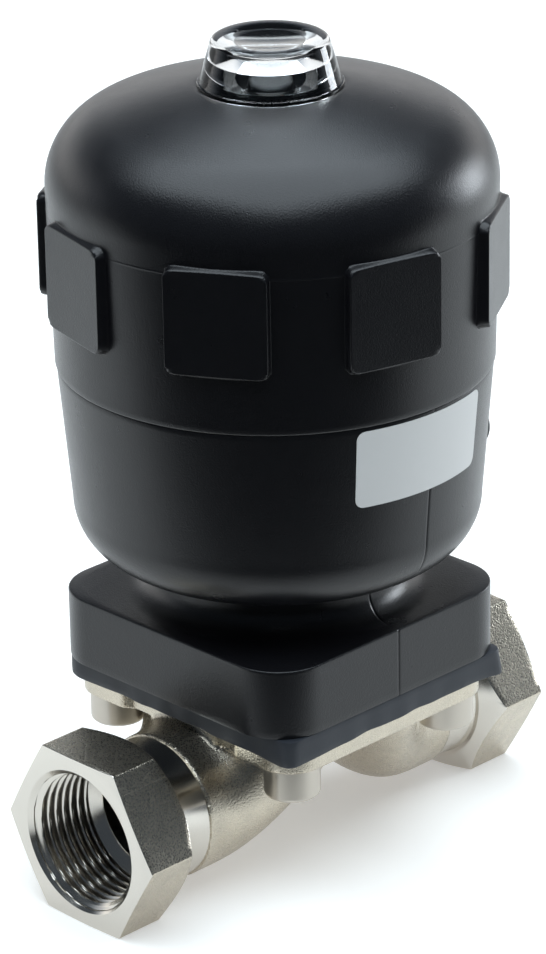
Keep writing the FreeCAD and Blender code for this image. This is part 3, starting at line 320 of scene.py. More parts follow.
skin = add_node(tree, "ShaderNodeMapRange", {"Value": pits.outputs["Distance"],
                                             "To Min": 0.22, "To Max": 0.36})
tree.links.new(skin.outputs[0], shader.inputs["Roughness"])
relief = add_node(tree, "ShaderNodeBump", {"Strength": 0.25, "Distance": 0.00012,
                                           "Height": waves.outputs["Fac"]})
relief = add_node(tree, "ShaderNodeBump", {"Strength": 0.42, "Distance": 0.00010,
                                           "Height": pits.outputs["Distance"],
                                           "Normal": relief.outputs["Normal"]})
# The flange's edge is milled: upright feed marks, so a noise of x and y only, at its height
MILL_MARK = 0.5
MILL_FOOT = 36.9
upright = add_node(tree, "ShaderNodeMapping", {"Vector": place.outputs["Object"],
                                               "Scale": (1.0, 1.0, 0.02)})
marks = add_node(tree, "ShaderNodeTexNoise", {"Vector": upright.outputs["Vector"],
                                              "Scale": 1000 / MILL_MARK, "Detail": 1.0})
split = add_node(tree, "ShaderNodeSeparateXYZ", {0: place.outputs["Object"]})
milled = add_node(tree, "ShaderNodeMath", {0: split.outputs["Z"], 1: MILL_FOOT * MM},
                  operation="GREATER_THAN")
marks = add_node(tree, "ShaderNodeMath", {0: marks.outputs["Fac"], 1: milled.outputs[0]},
                 operation="MULTIPLY")
relief = add_node(tree, "ShaderNodeBump", {"Strength": 0.7, "Distance": 0.00008,
                                           "Height": marks.outputs[0],
                                           "Normal": relief.outputs["Normal"]})
tree.links.new(relief.outputs["Normal"], shader.inputs["Normal"])

# The same steel turned on a lathe: brighter, with fine feed marks round the pipe's axis
turned_steel = bpy.data.materials.new("turned_stainless_steel")
turned_steel.use_nodes = True
tree = turned_steel.node_tree
shader = tree.nodes["Principled BSDF"]
shader.inputs["Metallic"].default_value = 1.0
shader.inputs["Base Color"].default_value = colour("DCD7CE")
place = add_node(tree, "ShaderNodeTexCoord")
centred = add_node(tree, "ShaderNodeMapping", {"Vector": place.outputs["Object"],
                                               "Location": (0, 0, -PIPE_Z * MM)})
FEED_MARK = 0.35
feed = add_node(tree, "ShaderNodeTexWave", {"Vector": centred.outputs["Vector"],
                                            "Scale": math.pi / 10 / (FEED_MARK * MM),
                                            "Distortion": 0.6, "Detail": 1.0},
                wave_type="RINGS", rings_direction="X")
blotch = add_node(tree, "ShaderNodeTexNoise", {"Vector": place.outputs["Object"],
                                               "Scale": 220.0, "Detail": 4.0})
gloss = add_node(tree, "ShaderNodeMapRange", {"Value": blotch.outputs["Fac"],
                                              "To Min": 0.13, "To Max": 0.25})
tree.links.new(gloss.outputs[0], shader.inputs["Roughness"])
relief = add_node(tree, "ShaderNodeBump", {"Strength": 0.04, "Distance": 0.00003,
                                           "Height": feed.outputs["Fac"]})
tree.links.new(relief.outputs["Normal"], shader.inputs["Normal"])


def hexagon_end(side):
    """Port end as a grid about the pipe's axis: outside from neck to face, then the thread.

    The hexagon's outline has rounded corners; the cones of the lathe cut it, so each chamfer's
    edge lies at an x that falls in line with the outline's radius. The thread's radius is a
    rounded triangle wave of x over the pitch less the turn. A row is its x, its radius and a one
    where the lathe has cut it; the last result is a one for each quad on or beside such a row.
    """
    half_flat = HEX_FLATS / 2
    inner_corner = (half_flat - HEX_CORNER_ROUND) / math.cos(math.pi / 6)
    outline = []
    for step in range(6):
        bearing = math.radians(60 * step)
        middle = inner_corner * np.array([math.cos(bearing), math.sin(bearing)])
        sweep = bearing + np.radians(np.linspace(-30, 30, 6))
        outline.append(middle + HEX_CORNER_ROUND * np.column_stack([np.cos(sweep),
                                                                    np.sin(sweep)]))
        start = outline[-1][-1]
        after = math.radians(60 * step + 60)
        goal = inner_corner * np.array([math.cos(after), math.sin(after)])
        goal = goal + HEX_CORNER_ROUND * np.array([math.cos(after - math.pi / 6),
                                                   math.sin(after - math.pi / 6)])
        share = np.linspace(0, 1, 26)[1:-1, None]
        outline.append(start + (goal - start) * share)
    outline = np.vstack(outline)
    angle = np.arctan2(outline[:, 1], outline[:, 0])
    reach = np.hypot(outline[:, 0], outline[:, 1])
    hex_back = BODY_END - HEX_LENGTH
    face_edge = BODY_END - (reach - FACE_RADIUS) * OUTER_CHAMFER_SLOPE
    back_edge = hex_back + (reach - SHOULDER_RADIUS) * INNER_CHAMFER_SLOPE
    same = np.ones_like(angle)
    rows = [
        (NECK_END - 1.0, NECK_RADIUS),
        (NECK_END + 0.6, NECK_RADIUS),
        (hex_back - 0.8, NECK_RADIUS),
        (hex_back, NECK_RADIUS + 0.35),
        (hex_back, SHOULDER_RADIUS - 0.2),
        (hex_back + 0.15, SHOULDER_RADIUS),
    ]
    rows = [(x * same, r * same, 1) for x, r in rows]
    for share in (0.35, 0.7, 0.97):
        radius = SHOULDER_RADIUS + (reach - SHOULDER_RADIUS) * share
        rows.append((hex_back + (radius - SHOULDER_RADIUS) * INNER_CHAMFER_SLOPE, radius, 1))
    rows.append((back_edge + 0.15, reach, 0))
    for share in (0.1, 0.3, 0.5, 0.7, 0.9):
        rows.append((back_edge + (face_edge - back_edge) * share, reach, 0))
    rows.append((face_edge - 0.12, reach, 0))
    for share in (0.03, 0.3, 0.6, 0.97):
        radius = reach + (FACE_RADIUS - reach) * share
        rows.append((BODY_END - (radius - FACE_RADIUS) * OUTER_CHAMFER_SLOPE, radius, 1))
    mouth = THREAD_MAJOR + MOUTH_CHAMFER
    for radius in (FACE_RADIUS - 0.3, (FACE_RADIUS + mouth) / 2, mouth + 0.15):
        rows.append((BODY_END * same, radius * same, 1))
    thread_x = np.arange(BODY_END, BODY_END - THREAD_LENGTH, -THREAD_PITCH / THREAD_ROWS)
    for x in thread_x:
        phase = (x / THREAD_PITCH - side * angle / (2 * np.pi)) % 1.0
        wave = (np.abs(2 * phase - 1) - THREAD_FLAT) / (1 - 2 * THREAD_FLAT)
        wave = np.clip(wave, 0, 1)
        wave = wave * wave * (3 - 2 * wave) * 0.5 + wave * 0.5
        thread = THREAD_MAJOR - THREAD_DEPTH * wave
        rows.append((x * same, np.maximum(thread, mouth - (BODY_END - x)), 1))
    bore = NECK_RADIUS - WALL
    thread_end = BODY_END - THREAD_LENGTH
    rows += [(x * same, r * same, 1) for x, r in (
        (thread_end - 0.2, THREAD_MAJOR),
        (thread_end - THREAD_RUNOUT, bore + 0.2),
        (thread_end - THREAD_RUNOUT - 0.3, bore),
        (NECK_END - 1.0, bore),
    )]
    x = np.array([row[0] for row in rows])
    radius = np.array([row[1] for row in rows])
    grid = np.stack([side * x, radius * np.cos(angle), PIPE_Z + radius * np.sin(angle)], -1)
    turned_row = np.array([row[2] for row in rows])
    turned = np.repeat(np.maximum(turned_row, np.roll(turned_row, -1)), len(angle))
    return (*ring_shell(grid), turned)


# The arch over the weir. Circles stand across the pipe's axis; their lowest points follow the
# fourth power of a cosine of x and their radii the third, inside and out. The field below is
# negative in the metal: tube and flange joined with a fillet, less the way for the fluid.
FLANGE_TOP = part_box("valve_body")[1][2] / MM
FLANGE_THICKNESS = 5.8
FLANGE_LENGTH = 67.0
FLANGE_WIDTH = 73.0
FLANGE_CORNER = 8.5
FLANGE_EDGE = 0.5
NOTCH_DEPTH = 1.8
NOTCH_WIDTH = 34.0
NOTCH_ROUND = 3.0
WEIR_TOP = FLANGE_TOP - 12.9
WEIR_RADIUS = 35.6
FILLET = 1.4
SCREW_X = 25.3
SCREW_Y = 28.7
SPOT_FACE_RADIUS = 6.9
SCREW_HOLE_RADIUS = 4.5
FIELD_STEP = 0.62
FIELD_MARGIN = 1.5
FIELD_FOOT = 1.5


def arch(x, y, z, end_radius, end_bottom, middle_radius, middle_bottom):
    """Distance from the circle across the pipe at x, whose foot and radius the arch gives."""
    lift = np.cos(np.pi / 2 * np.clip(x / NECK_END, -1, 1))
    foot = end_bottom + (middle_bottom - end_bottom) * lift ** 4
    radius = end_radius + (middle_radius - end_radius) * lift ** 3
    return np.hypot(y, z - foot - radius) - radius


def joined(first, second, reach):
    """Smooth smaller of two fields: a fillet about as wide as the reach."""
    share = np.clip(0.5 + 0.5 * (second - first) / reach, 0, 1)
    return second + (first - second) * share - reach * share * (1 - share)


def rounded(first, second, radius):
    """Larger of two fields with the edge between them rounded."""
    a, b = first + radius, second + radius
    return (np.hypot(np.maximum(a, 0), np.maximum(b, 0)) + np.minimum(np.maximum(a, b), 0)
            - radius)


def plate(x, y, length, width, corner):
    """Distance from a rounded rectangle in plan."""
    a = np.abs(x) - length / 2 + corner
    b = np.abs(y) - width / 2 + corner
    return np.hypot(np.maximum(a, 0), np.maximum(b, 0)) + np.minimum(np.maximum(a, b), 0) - corner


def casting(x, y, z):
    """The field of the casting between the two necks."""
    lobe = NECK_RADIUS + CAST_STEP
    tube = arch(x, y, z, lobe, PIPE_Z - lobe, WEIR_RADIUS + WALL, WEIR_TOP - WALL)
    tube = rounded(tube, np.abs(x) - NECK_END, FLANGE_EDGE)
    tube = rounded(tube, z - (FLANGE_TOP - 1.0), FLANGE_EDGE)
    outline = plate(x, y, FLANGE_LENGTH, FLANGE_WIDTH, FLANGE_CORNER)
    notch = plate(np.abs(x) - FLANGE_LENGTH / 2, y, 2 * NOTCH_DEPTH, NOTCH_WIDTH, NOTCH_DEPTH)
    outline = -joined(-outline, notch, NOTCH_ROUND)
    middle = FLANGE_TOP - FLANGE_THICKNESS / 2
    flange = rounded(outline, np.abs(z - middle) - FLANGE_THICKNESS / 2, FLANGE_EDGE)
    metal = joined(tube, flange, FILLET)
    screw = np.hypot(np.abs(x) - SCREW_X, np.abs(y) - SCREW_Y)
    spot_face = rounded(screw - SPOT_FACE_RADIUS, z - FLANGE_TOP + FLANGE_THICKNESS, 0.3)
    metal = rounded(metal, -spot_face, 0.3)
    metal = np.maximum(metal, SCREW_HOLE_RADIUS - screw)
    bore = NECK_RADIUS - WALL
    passage = arch(x, y, z, bore, PIPE_Z - bore, WEIR_RADIUS, WEIR_TOP)
    return rounded(metal, -passage, 0.4)


def surface_of(field, low, high, step):
    """Quads on the zero level of a field: one point in each mixed cell, then pulled onto it."""
    lines = [np.arange(a, b + step, step) for a, b in zip(low, high)]
    value = field(*np.meshgrid(*lines, indexing="ij", sparse=True))
    inside = value < 0
    shape = np.array(value.shape)
    corners = [(i, j, k) for i in (0, 1) for j in (0, 1) for k in (0, 1)]
    cell = sum(inside[i:shape[0] - 1 + i, j:shape[1] - 1 + j, k:shape[2] - 1 + k].astype(int)
               for i, j, k in corners)
    mixed = np.argwhere((cell > 0) & (cell < 8))
    number = np.full(shape - 1, -1)
    number[tuple(mixed.T)] = np.arange(len(mixed))
    points = np.array(low) + (mixed + 0.5) * step
    quads = []
    for axis in range(3):
        first, second = [a for a in range(3) if a != axis]
        lower = inside.take(range(shape[axis] - 1), axis)
        upper = inside.take(range(1, shape[axis]), axis)
        edge = np.argwhere(lower != upper)
        edge = edge[(edge[:, first] > 0) & (edge[:, second] > 0)
                    & (edge[:, first] < shape[first] - 1) & (edge[:, second] < shape[second] - 1)]
        ring = []
        for a, b in ((0, 0), (1, 0), (1, 1), (0, 1)):
            at = edge.copy()
            at[:, first] -= a
            at[:, second] -= b
            ring.append(number[tuple(at.T)])
        ring = np.stack(ring, -1)
        flip = lower[tuple(edge.T)] == (axis == 1)
        ring[flip] = ring[flip][:, ::-1]
        quads.append(ring)
    nudge = 0.02
    for _ in range(4):
        x, y, z = points.T
        here = field(x, y, z)
        slope = np.stack([field(x + nudge, y, z) - field(x - nudge, y, z),
                          field(x, y + nudge, z) - field(x, y - nudge, z),
                          field(x, y, z + nudge) - field(x, y, z - nudge)], -1) / (2 * nudge)
        size = np.maximum((slope ** 2).sum(1), 0.05)
        move = np.clip(-here / size, -step / 2, step / 2)
        points = points + slope * move[:, None]
    return points, np.vstack(quads)


field_x = NECK_END + FIELD_MARGIN
field_y = FLANGE_WIDTH / 2 + FIELD_MARGIN
cast_points, cast_quads = surface_of(
    casting, (-field_x, -field_y, FIELD_FOOT), (field_x, field_y, FLANGE_TOP + FIELD_MARGIN),
    FIELD_STEP
)
cast_quads = outward(cast_points, cast_quads)
all_points = [cast_points]
all_quads = [cast_quads]
all_turned = [np.zeros(len(cast_quads), int)]
for side in (-1, 1):
    end_points, end_quads, end_turned = hexagon_end(side)
    all_quads.append(end_quads + sum(len(p) for p in all_points))
    all_points.append(end_points)
    all_turned.append(end_turned)
valve_body = make_piece("valve_body", np.vstack(all_points), np.vstack(all_quads), "root",
                        cast_steel, 28.0)
valve_body.data.materials.append(turned_steel)
valve_body.data.polygons.foreach_set("material_index", np.concatenate(all_turned))
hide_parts("valve_body")


def new_material(name, code, roughness, metallic=0.0):
    """Principled material of one colour and roughness; returns it with its tree and shader."""
    material = bpy.data.materials.new(name)
    material.use_nodes = True
    shader = material.node_tree.nodes["Principled BSDF"]
    shader.inputs["Base Color"].default_value = colour(code)
    shader.inputs["Roughness"].default_value = roughness
    shader.inputs["Metallic"].default_value = metallic
    return material, material.node_tree, shader


def add_relief(tree, shader, *layers):
    """Bump of noise in object coordinates; a layer is the grain's size and height in mm."""
    place = add_node(tree, "ShaderNodeTexCoord")
    inputs = {}
    for size, height in layers:
        noise = add_node(tree, "ShaderNodeTexNoise", {"Vector": place.outputs["Object"],
                                                      "Scale": 1 / (size * MM), "Detail": 2.0})
        inputs["Height"] = noise.outputs["Fac"]
        inputs["Distance"] = height * MM
        bump = add_node(tree, "ShaderNodeBump", inputs)
        inputs["Normal"] = bump.outputs["Normal"]
    tree.links.new(inputs["Normal"], shader.inputs["Normal"])


def dress(material, *nodes):
    """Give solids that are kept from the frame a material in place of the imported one."""
    for node in nodes:
        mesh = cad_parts[node].data
        mesh.materials.clear()
        mesh.materials.append(material)


# Fasteners: cold-formed stainless steel, smooth, with faint drawing marks. The four socket-head
# screws come up through the flange; the stud, pin, washer and nut hold the spindle's parts.
fastener_steel, tree, shader = new_material("cold_formed_stainless", "C6BFB4", 0.32, 1.0)
add_relief(tree, shader, (1.6, 0.010), (0.25, 0.003))
dress(fastener_steel, "body_screws", "diaphragm_stud", "compressor_pin", "piston_washer",
      "piston_nut")

# Diaphragm: compression-moulded EPDM, a square rim clamped between flange and bonnet and a bowl
# in its middle. The rim's edge is trimmed by hand: it waves, hangs over the flange's edge as a low
# skirt, deepest at the droop, leaves an ear at one corner and has rounder corners at the back.
rubber, tree, shader = new_material("epdm_rubber", "292D34", 0.52)
add_relief(tree, shader, (2.5, 0.05), (0.35, 0.012))
RIM_LENGTH = 70.2
RIM_WIDTH = 75.8
RIM_CORNER = 3.0
RIM_BACK_CORNER = 7.0
RIM_SKIRT = 1.45
RIM_TOP = FLANGE_TOP + 4.4
BOWL_CENTRE = WEIR_TOP + WEIR_RADIUS
BOWL_OUTER = 34.5
BOWL_INNER = 30.9
BOSS_RADIUS = 8.0
BOSS_TOP = 36.7
STUD_POCKET = ((0.3, 33.25), (5.8, 33.25), (5.8, 35.35), (3.3, 35.35), (3.3, BOSS_TOP - 0.2),
               (3.5, BOSS_TOP))
EAR_BEARING = -47.2
EAR_REACH = 1.1
EAR_SPREAD = 2.6
DROOP_BEARING = -132.8
DROOP_DEPTH = 0.6
DROOP_SPREAD = 14.0
BEAD_HEIGHT = 0.54
BEAD_HALF_WIDTH = 0.8


def arc(centre, radius, start, end, steps):
    """Points (r, z) on a circle in the half plane, between two angles in degrees."""
    angle = np.radians(np.linspace(start, end, steps))
    return np.column_stack([centre[0] + radius * np.cos(angle),
                            centre[1] + radius * np.sin(angle)])


def turned_grid(reach, height, angle):
    """Grid of points about Z: reach times cosine, reach times sine, and the height."""
    return np.stack([reach * np.cos(angle), reach * np.sin(angle), height + 0 * angle], -1)


def square_radius(angle, length, width, corner):
    """Distance from the centre to a rounded rectangle's outline along each bearing."""
    cosine, sine = np.abs(np.cos(angle)), np.abs(np.sin(angle))
    a, b = length / 2 - corner, width / 2 - corner
    middle = a * cosine + b * sine
    on_corner = middle + np.sqrt(np.maximum(middle ** 2 - a * a - b * b + corner ** 2, 0))
    x_side = length / 2 / np.maximum(cosine, 1e-6)
    y_side = width / 2 / np.maximum(sine, 1e-6)
    reach = np.minimum(x_side, y_side)
    is_corner = (reach * cosine > a) & (reach * sine > b)
    return np.where(is_corner, on_corner, reach)


def zipped(ring):
    """Quads that close a flat ring of an even number of points."""
    half = len(ring) // 2
    facing = ring[::-1]
    return np.column_stack([ring[:half - 1], ring[1:half], facing[1:half], facing[:half - 1]])


def closed_shell(grid):
    """Points and quads of rows that wrap round, with both end rows closed by flat lids."""
    rows, columns = grid.shape[:2]
    points = grid.reshape(-1, 3)
    first = np.arange(columns)
    quads = np.vstack([
        grid_quads(rows, columns, wrap_rows=False),
        zipped(first[::-1]),
        zipped(first + (rows - 1) * columns),
    ])
    return points, outward(points, quads)


angle = np.linspace(-np.pi, np.pi, 360, endpoint=False)
outline = square_radius(angle, RIM_LENGTH, RIM_WIDTH,
                        np.where(angle > 0, RIM_BACK_CORNER, RIM_CORNER))
wave = 0.10 * np.sin(11 * angle) + 0.07 * np.sin(29 * angle + 1.3)
ear = EAR_REACH * np.exp(-((np.degrees(angle) - EAR_BEARING) / EAR_SPREAD) ** 2)
droop = DROOP_DEPTH * np.exp(-((np.degrees(angle) - DROOP_BEARING) / DROOP_SPREAD) ** 2)
low_edge = FLANGE_TOP - RIM_SKIRT + 0.12 * np.sin(17 * angle + 0.6) - droop - 0.45 * ear
flange_edge = square_radius(angle, FLANGE_LENGTH, FLANGE_WIDTH, FLANGE_CORNER) + 0.15
same = np.ones_like(angle)
rows = [(r * same, z * same) for r, z in STUD_POCKET]
rows += [(r * same, z * same) for r, z in ((BOSS_RADIUS - 0.3, BOSS_TOP),
                                           (BOSS_RADIUS, BOSS_TOP - 0.3),
                                           (BOSS_RADIUS, BOSS_TOP - 0.9))]
bowl_low = math.degrees(math.asin((BOSS_RADIUS + 0.6) / BOWL_INNER)) - 90
bowl_high = -math.degrees(math.asin((BOWL_CENTRE - RIM_TOP) / BOWL_INNER))
inner_bowl = arc((0, BOWL_CENTRE), BOWL_INNER, bowl_low, bowl_high, 24)
rows += [(r * same, z * same) for r, z in inner_bowl]
rim_inner = inner_bowl[-1][0]
for share in (0.1, 0.4, 0.7, 0.9):
    rows.append((rim_inner + (outline - rim_inner) * share, RIM_TOP * same))
for inset, drop in ((0.5, 0.0), (0.12, 0.08), (0.0, 0.35)):
    rows.append((outline - inset + 0.5 * wave + 0.2 * ear, (RIM_TOP - drop) * same))
for share in (0.25, 0.5, 0.75):
    z = RIM_TOP - 0.35 - share * (RIM_TOP - 0.7 - low_edge)
    rows.append((outline + wave * (0.5 + share) + ear * (0.2 + 0.8 * share), z))
for inset, lift in ((0.05, 0.35), (0.4, 0.0)):
    rows.append((outline - inset + 1.4 * wave + ear, low_edge + lift))
rows.append((flange_edge + 0.35, 0.5 * (FLANGE_TOP + low_edge)))
rows.append((flange_edge, FLANGE_TOP * same))
bowl_edge = -math.degrees(math.asin((BOWL_CENTRE - FLANGE_TOP) / BOWL_OUTER))
outer_bowl = arc((0, BOWL_CENTRE), BOWL_OUTER, bowl_edge, -89.4, 26)
rim_outer = outer_bowl[0][0]
for share in (0.8, 0.5, 0.25):
    rows.append((rim_outer + (outline - rim_outer) * share, FLANGE_TOP * same))
# A fine bead across the bowl seals on the weir; it fades out towards the rim
bead = BEAD_HEIGHT * np.exp(-(BOWL_OUTER * np.cos(angle) / BEAD_HALF_WIDTH) ** 2)
for r, z in outer_bowl:
    fade = min(1.0, (FLANGE_TOP - z) / 2.0)
    bulge = 1 + bead * fade * np.sqrt(r / BOWL_OUTER) / BOWL_OUTER
    rows.append((r * bulge, BOWL_CENTRE + (z - BOWL_CENTRE) * same * bulge))
reach = np.array([row[0] for row in rows])
height = np.array([row[1] for row in rows])
points, quads = closed_shell(turned_grid(reach, height, angle))
diaphragm = make_piece("diaphragm_rubber", points, quads, None, rubber, 40.0)
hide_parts("diaphragm")
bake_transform(diaphragm)

# Housing: bonnet, neck and cylinder moulded in one piece of black glass-filled polyamide. The
# mould's parting line runs up the front and the back in the plane x = 0. The cylinder's foot
# hangs a drop lower than in the frame, as the photograph shows it.
black_polyamide, tree, shader = new_material("black_glass_filled_polyamide", "111114", 0.30)
add_relief(tree, shader, (4.0, 0.020), (0.38, 0.045), (0.18, 0.020))
place = add_node(tree, "ShaderNodeTexCoord")
blotch = add_node(tree, "ShaderNodeTexNoise", {"Vector": place.outputs["Object"],
                                               "Scale": 1 / (6.0 * MM), "Detail": 5.0})
gloss = add_node(tree, "ShaderNodeMapRange", {"Value": blotch.outputs["Fac"],
                                              "To Min": 0.25, "To Max": 0.33})
tree.links.new(gloss.outputs[0], shader.inputs["Roughness"])

BONNET_SIDE = 76.4
BONNET_CORNER = 12.6
BONNET_EDGE = 0.4
BONNET_TOP = RIM_TOP + 16.7
CAVITY_RADIUS = 22.5
CAVITY_MOUTH = 3.0
CAVITY_TOP = BONNET_TOP - 5.1
NECK_WAIST = 29.0
NECK_FLARE = 6.0
NECK_TOP_ROUND = 2.5
FOOT_Z = BONNET_TOP + 13.4
FOOT_RADIUS = 46.9
FOOT_ROUND = 13.5
FOOT_DROP = 2.8
FLOOR_Z = FOOT_Z + 4.5
SEAM_Z = FOOT_Z + 43.6
SEAM_RADIUS = 49.6
COLLAR_RADIUS = 44.4
COLLAR_TOP = SEAM_Z + 16.0
CYLINDER_RADIUS = 40.0
BUSH_HOLE = 9.24
PARTING_DEPTH = 0.16
PARTING_WIDTH = 0.22

near_line = np.array([-0.9, -0.45, -0.2, 0.2, 0.45, 0.9])
bearing = np.concatenate([np.arange(-180, 180, 1.5), near_line - 90, near_line + 90])
angle = np.radians(np.sort(bearing))
same = np.ones_like(angle)
outline = square_radius(angle, BONNET_SIDE, BONNET_SIDE, BONNET_CORNER)
rows = [(outline - 0.5, RIM_TOP * same), (outline - 0.1, (RIM_TOP + 0.1) * same)]
for z in np.linspace(RIM_TOP + 0.5, BONNET_TOP - 1.0, 12):
    rows.append((outline, z * same))
for tilt in np.radians((0, 22, 45, 68, 90)):
    rows.append((outline - BONNET_EDGE * (1 - math.cos(tilt)),
                 (BONNET_TOP - BONNET_EDGE + BONNET_EDGE * math.sin(tilt)) * same))
flare_edge = NECK_WAIST + NECK_FLARE
for share in (0.25, 0.6, 0.9):
    rows.append((outline - BONNET_EDGE + (flare_edge - outline + BONNET_EDGE) * share,
                 BONNET_TOP * same))
foot_end = FOOT_RADIUS - FOOT_ROUND
foot_low = FOOT_Z - FOOT_DROP
wall_foot = (foot_end, foot_low + FOOT_ROUND)
profile = np.vstack([
    arc((flare_edge, BONNET_TOP + NECK_FLARE), NECK_FLARE, 270, 180, 12),
    arc((NECK_WAIST + NECK_TOP_ROUND, foot_low - NECK_TOP_ROUND), NECK_TOP_ROUND, 180, 90, 8),
    [(foot_end - 0.8, foot_low)],
    arc(wall_foot, FOOT_ROUND, -90, 0, 20),
])


def wall_radius(z):
    """Radius of the cylinder's wall at a height: it widens evenly from its foot to the seam."""
    share = (z - wall_foot[1]) / (SEAM_Z - wall_foot[1])
    return FOOT_RADIUS + share * (SEAM_RADIUS - FOOT_RADIUS)


wall_z = np.linspace(wall_foot[1], SEAM_Z - 0.35, 30)[1:]
profile = np.vstack([
    profile,
    np.column_stack([wall_radius(wall_z), wall_z]),
    [(SEAM_RADIUS - 0.12, SEAM_Z - 0.1), (SEAM_RADIUS - 0.4, SEAM_Z)],
    [(COLLAR_RADIUS + 0.3, SEAM_Z), (COLLAR_RADIUS, SEAM_Z + 0.3)],
    [(COLLAR_RADIUS, COLLAR_TOP - 4.8), (COLLAR_RADIUS - 1.9, COLLAR_TOP - 4.8)],
    [(COLLAR_RADIUS - 1.9, COLLAR_TOP - 2.8), (COLLAR_RADIUS, COLLAR_TOP - 2.8)],
    [(COLLAR_RADIUS, COLLAR_TOP - 0.8), (COLLAR_RADIUS - 0.8, COLLAR_TOP)],
    [(CYLINDER_RADIUS + 0.8, COLLAR_TOP), (CYLINDER_RADIUS, COLLAR_TOP - 0.8)],
    [(CYLINDER_RADIUS, FLOOR_Z + 0.4), (CYLINDER_RADIUS - 0.4, FLOOR_Z)],
    [(BUSH_HOLE, FLOOR_Z), (BUSH_HOLE, CAVITY_TOP)],
    [(CAVITY_RADIUS - 0.5, CAVITY_TOP), (CAVITY_RADIUS, CAVITY_TOP - 0.5)],
    [(CAVITY_RADIUS, RIM_TOP + CAVITY_MOUTH), (CAVITY_RADIUS + CAVITY_MOUTH, RIM_TOP)],
])
seam_row = len(rows) + int(np.argmax(profile[:, 1] >= SEAM_Z - 0.2))
rows += [(r * same, z * same) for r, z in profile]
reach = np.array([row[0] for row in rows])
height = np.array([row[1] for row in rows])
# The parting line is a fine groove, on the outside below the seam only
groove = PARTING_DEPTH * np.exp(-(reach * np.cos(angle) / PARTING_WIDTH) ** 2)
groove[seam_row:] = 0
points, quads = ring_shell(turned_grid(reach - groove, height, angle))
housing = make_piece("actuator_housing_shell", points, quads, "root",
                     black_polyamide, 34.0)

# The boss of the air connection, moulded on at the right, is turned about its own level axis
PILOT_Z = FOOT_Z + 7.5
PILOT_RADIUS = 9.0
PILOT_FACE = 50.0
PILOT_BORE = 6.6
PILOT_STEP = 42.0
PILOT_BACK = 40.3
PILOT_WAY = 2.0
profile = np.array([
    (PILOT_WAY, PILOT_BACK), (PILOT_RADIUS, PILOT_BACK), (PILOT_RADIUS, PILOT_FACE - 0.5),
    (PILOT_RADIUS - 0.3, PILOT_FACE - 0.1), (PILOT_RADIUS - 0.7, PILOT_FACE),
    (PILOT_BORE, PILOT_FACE), (PILOT_BORE, PILOT_STEP), (PILOT_WAY, PILOT_STEP),
])
turn = np.linspace(0, 2 * np.pi, 64, endpoint=False)
grid = turned_grid(profile[:, 0, None], profile[:, 1, None], turn)
points, quads = ring_shell(grid[..., [2, 0, 1]] + (0, 0, PILOT_Z))
make_piece("pilot_boss", points, quads, "root", black_polyamide)
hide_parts("actuator_housing")

# Label: a blank self-adhesive plate of silver-grey film with rounded corners, pressed on the
# housing's front under the seam. Its back is sunk into the wall, so that no gap shows.
LABEL_BEARING = -91.7
LABEL_SPREAD = 44.6
LABEL_FOOT = 101.1
LABEL_TOP = 119.7
LABEL_CORNER = 2.0
LABEL_THICKNESS = 0.15
LABEL_SUNK = 0.2
LABEL_COLUMNS = 41

label_film, tree, shader = new_material("silver_label_film", "CCCBC9", 0.38)
add_relief(tree, shader, (1.2, 0.004))
middle = (LABEL_FOOT + LABEL_TOP) / 2
half_height = (LABEL_TOP - LABEL_FOOT) / 2
tilt = np.radians(np.linspace(-90, 90, 9))
height = np.concatenate([
    LABEL_FOOT + LABEL_CORNER * (1 + np.sin(tilt[:5])),
    np.linspace(LABEL_FOOT + LABEL_CORNER, LABEL_TOP - LABEL_CORNER, 10)[1:-1],
    LABEL_TOP - LABEL_CORNER * (1 - np.sin(tilt[4:])),
])
past = np.maximum(np.abs(height - middle) - half_height + LABEL_CORNER, 0)
radius = wall_radius(height)
half_width = (radius * math.radians(LABEL_SPREAD / 2) - LABEL_CORNER
              + np.sqrt(np.maximum(LABEL_CORNER ** 2 - past ** 2, 0)))
across = np.linspace(-1, 1, LABEL_COLUMNS)[None, :] * half_width[:, None] / radius[:, None]
across = np.concatenate([across, across[:, ::-1]], axis=1) + math.radians(LABEL_BEARING)
film = np.repeat([LABEL_THICKNESS, -LABEL_SUNK], LABEL_COLUMNS)
points, quads = closed_shell(turned_grid(radius[:, None] + film, height[:, None], across))
make_piece("label", points, quads, "root", label_film, 50.0)

# Cover: the same polyamide, one domed moulding screwed on the housing's collar. Eight flat pads
# for a strap wrench stand out from it; a fine mould line runs round it just under their tops.
COVER_SEAM_RADIUS = 49.9
COVER_SHOULDER_RADIUS = 50.8
SHOULDER_Z = SEAM_Z + 41.9
SHOULDER_ROUND = 17.5
CROWN_RADIUS = 118.0
COVER_WALL = 5.0
SEAL_GROOVE_TOP = 1.0
SEAL_GROOVE_FOOT = 2.9
SEAL_GROOVE_DEPTH = 1.8
CAP_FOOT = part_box("cap_o_ring")[0][2] / MM + SEAL_GROOVE_FOOT
SPIGOT_LENGTH = 7.0
LAND_RADIUS = 17.2
PAD_FIRST = 31.0
PAD_DISTANCE = 51.7
PAD_HALF_WIDTH = 11.8
PAD_HALF_HEIGHT = 12.2
PAD_CORNER = 2.2
PAD_MIDDLE = SEAM_Z + 13.8 + PAD_HALF_HEIGHT
MOULD_LINE = PAD_MIDDLE + 10.4
LINE_HEIGHT = 0.07
LINE_HALF_WIDTH = 0.13
TUBE_RADIUS = 9.5
TUBE_FOOT = SHOULDER_Z + 8.8
GUIDE_RADIUS = 6.0
SOCKET_RADIUS = 11.1
SOCKET_WALL = 3.5
SOCKET_UNDER = CAP_FOOT - 10.5

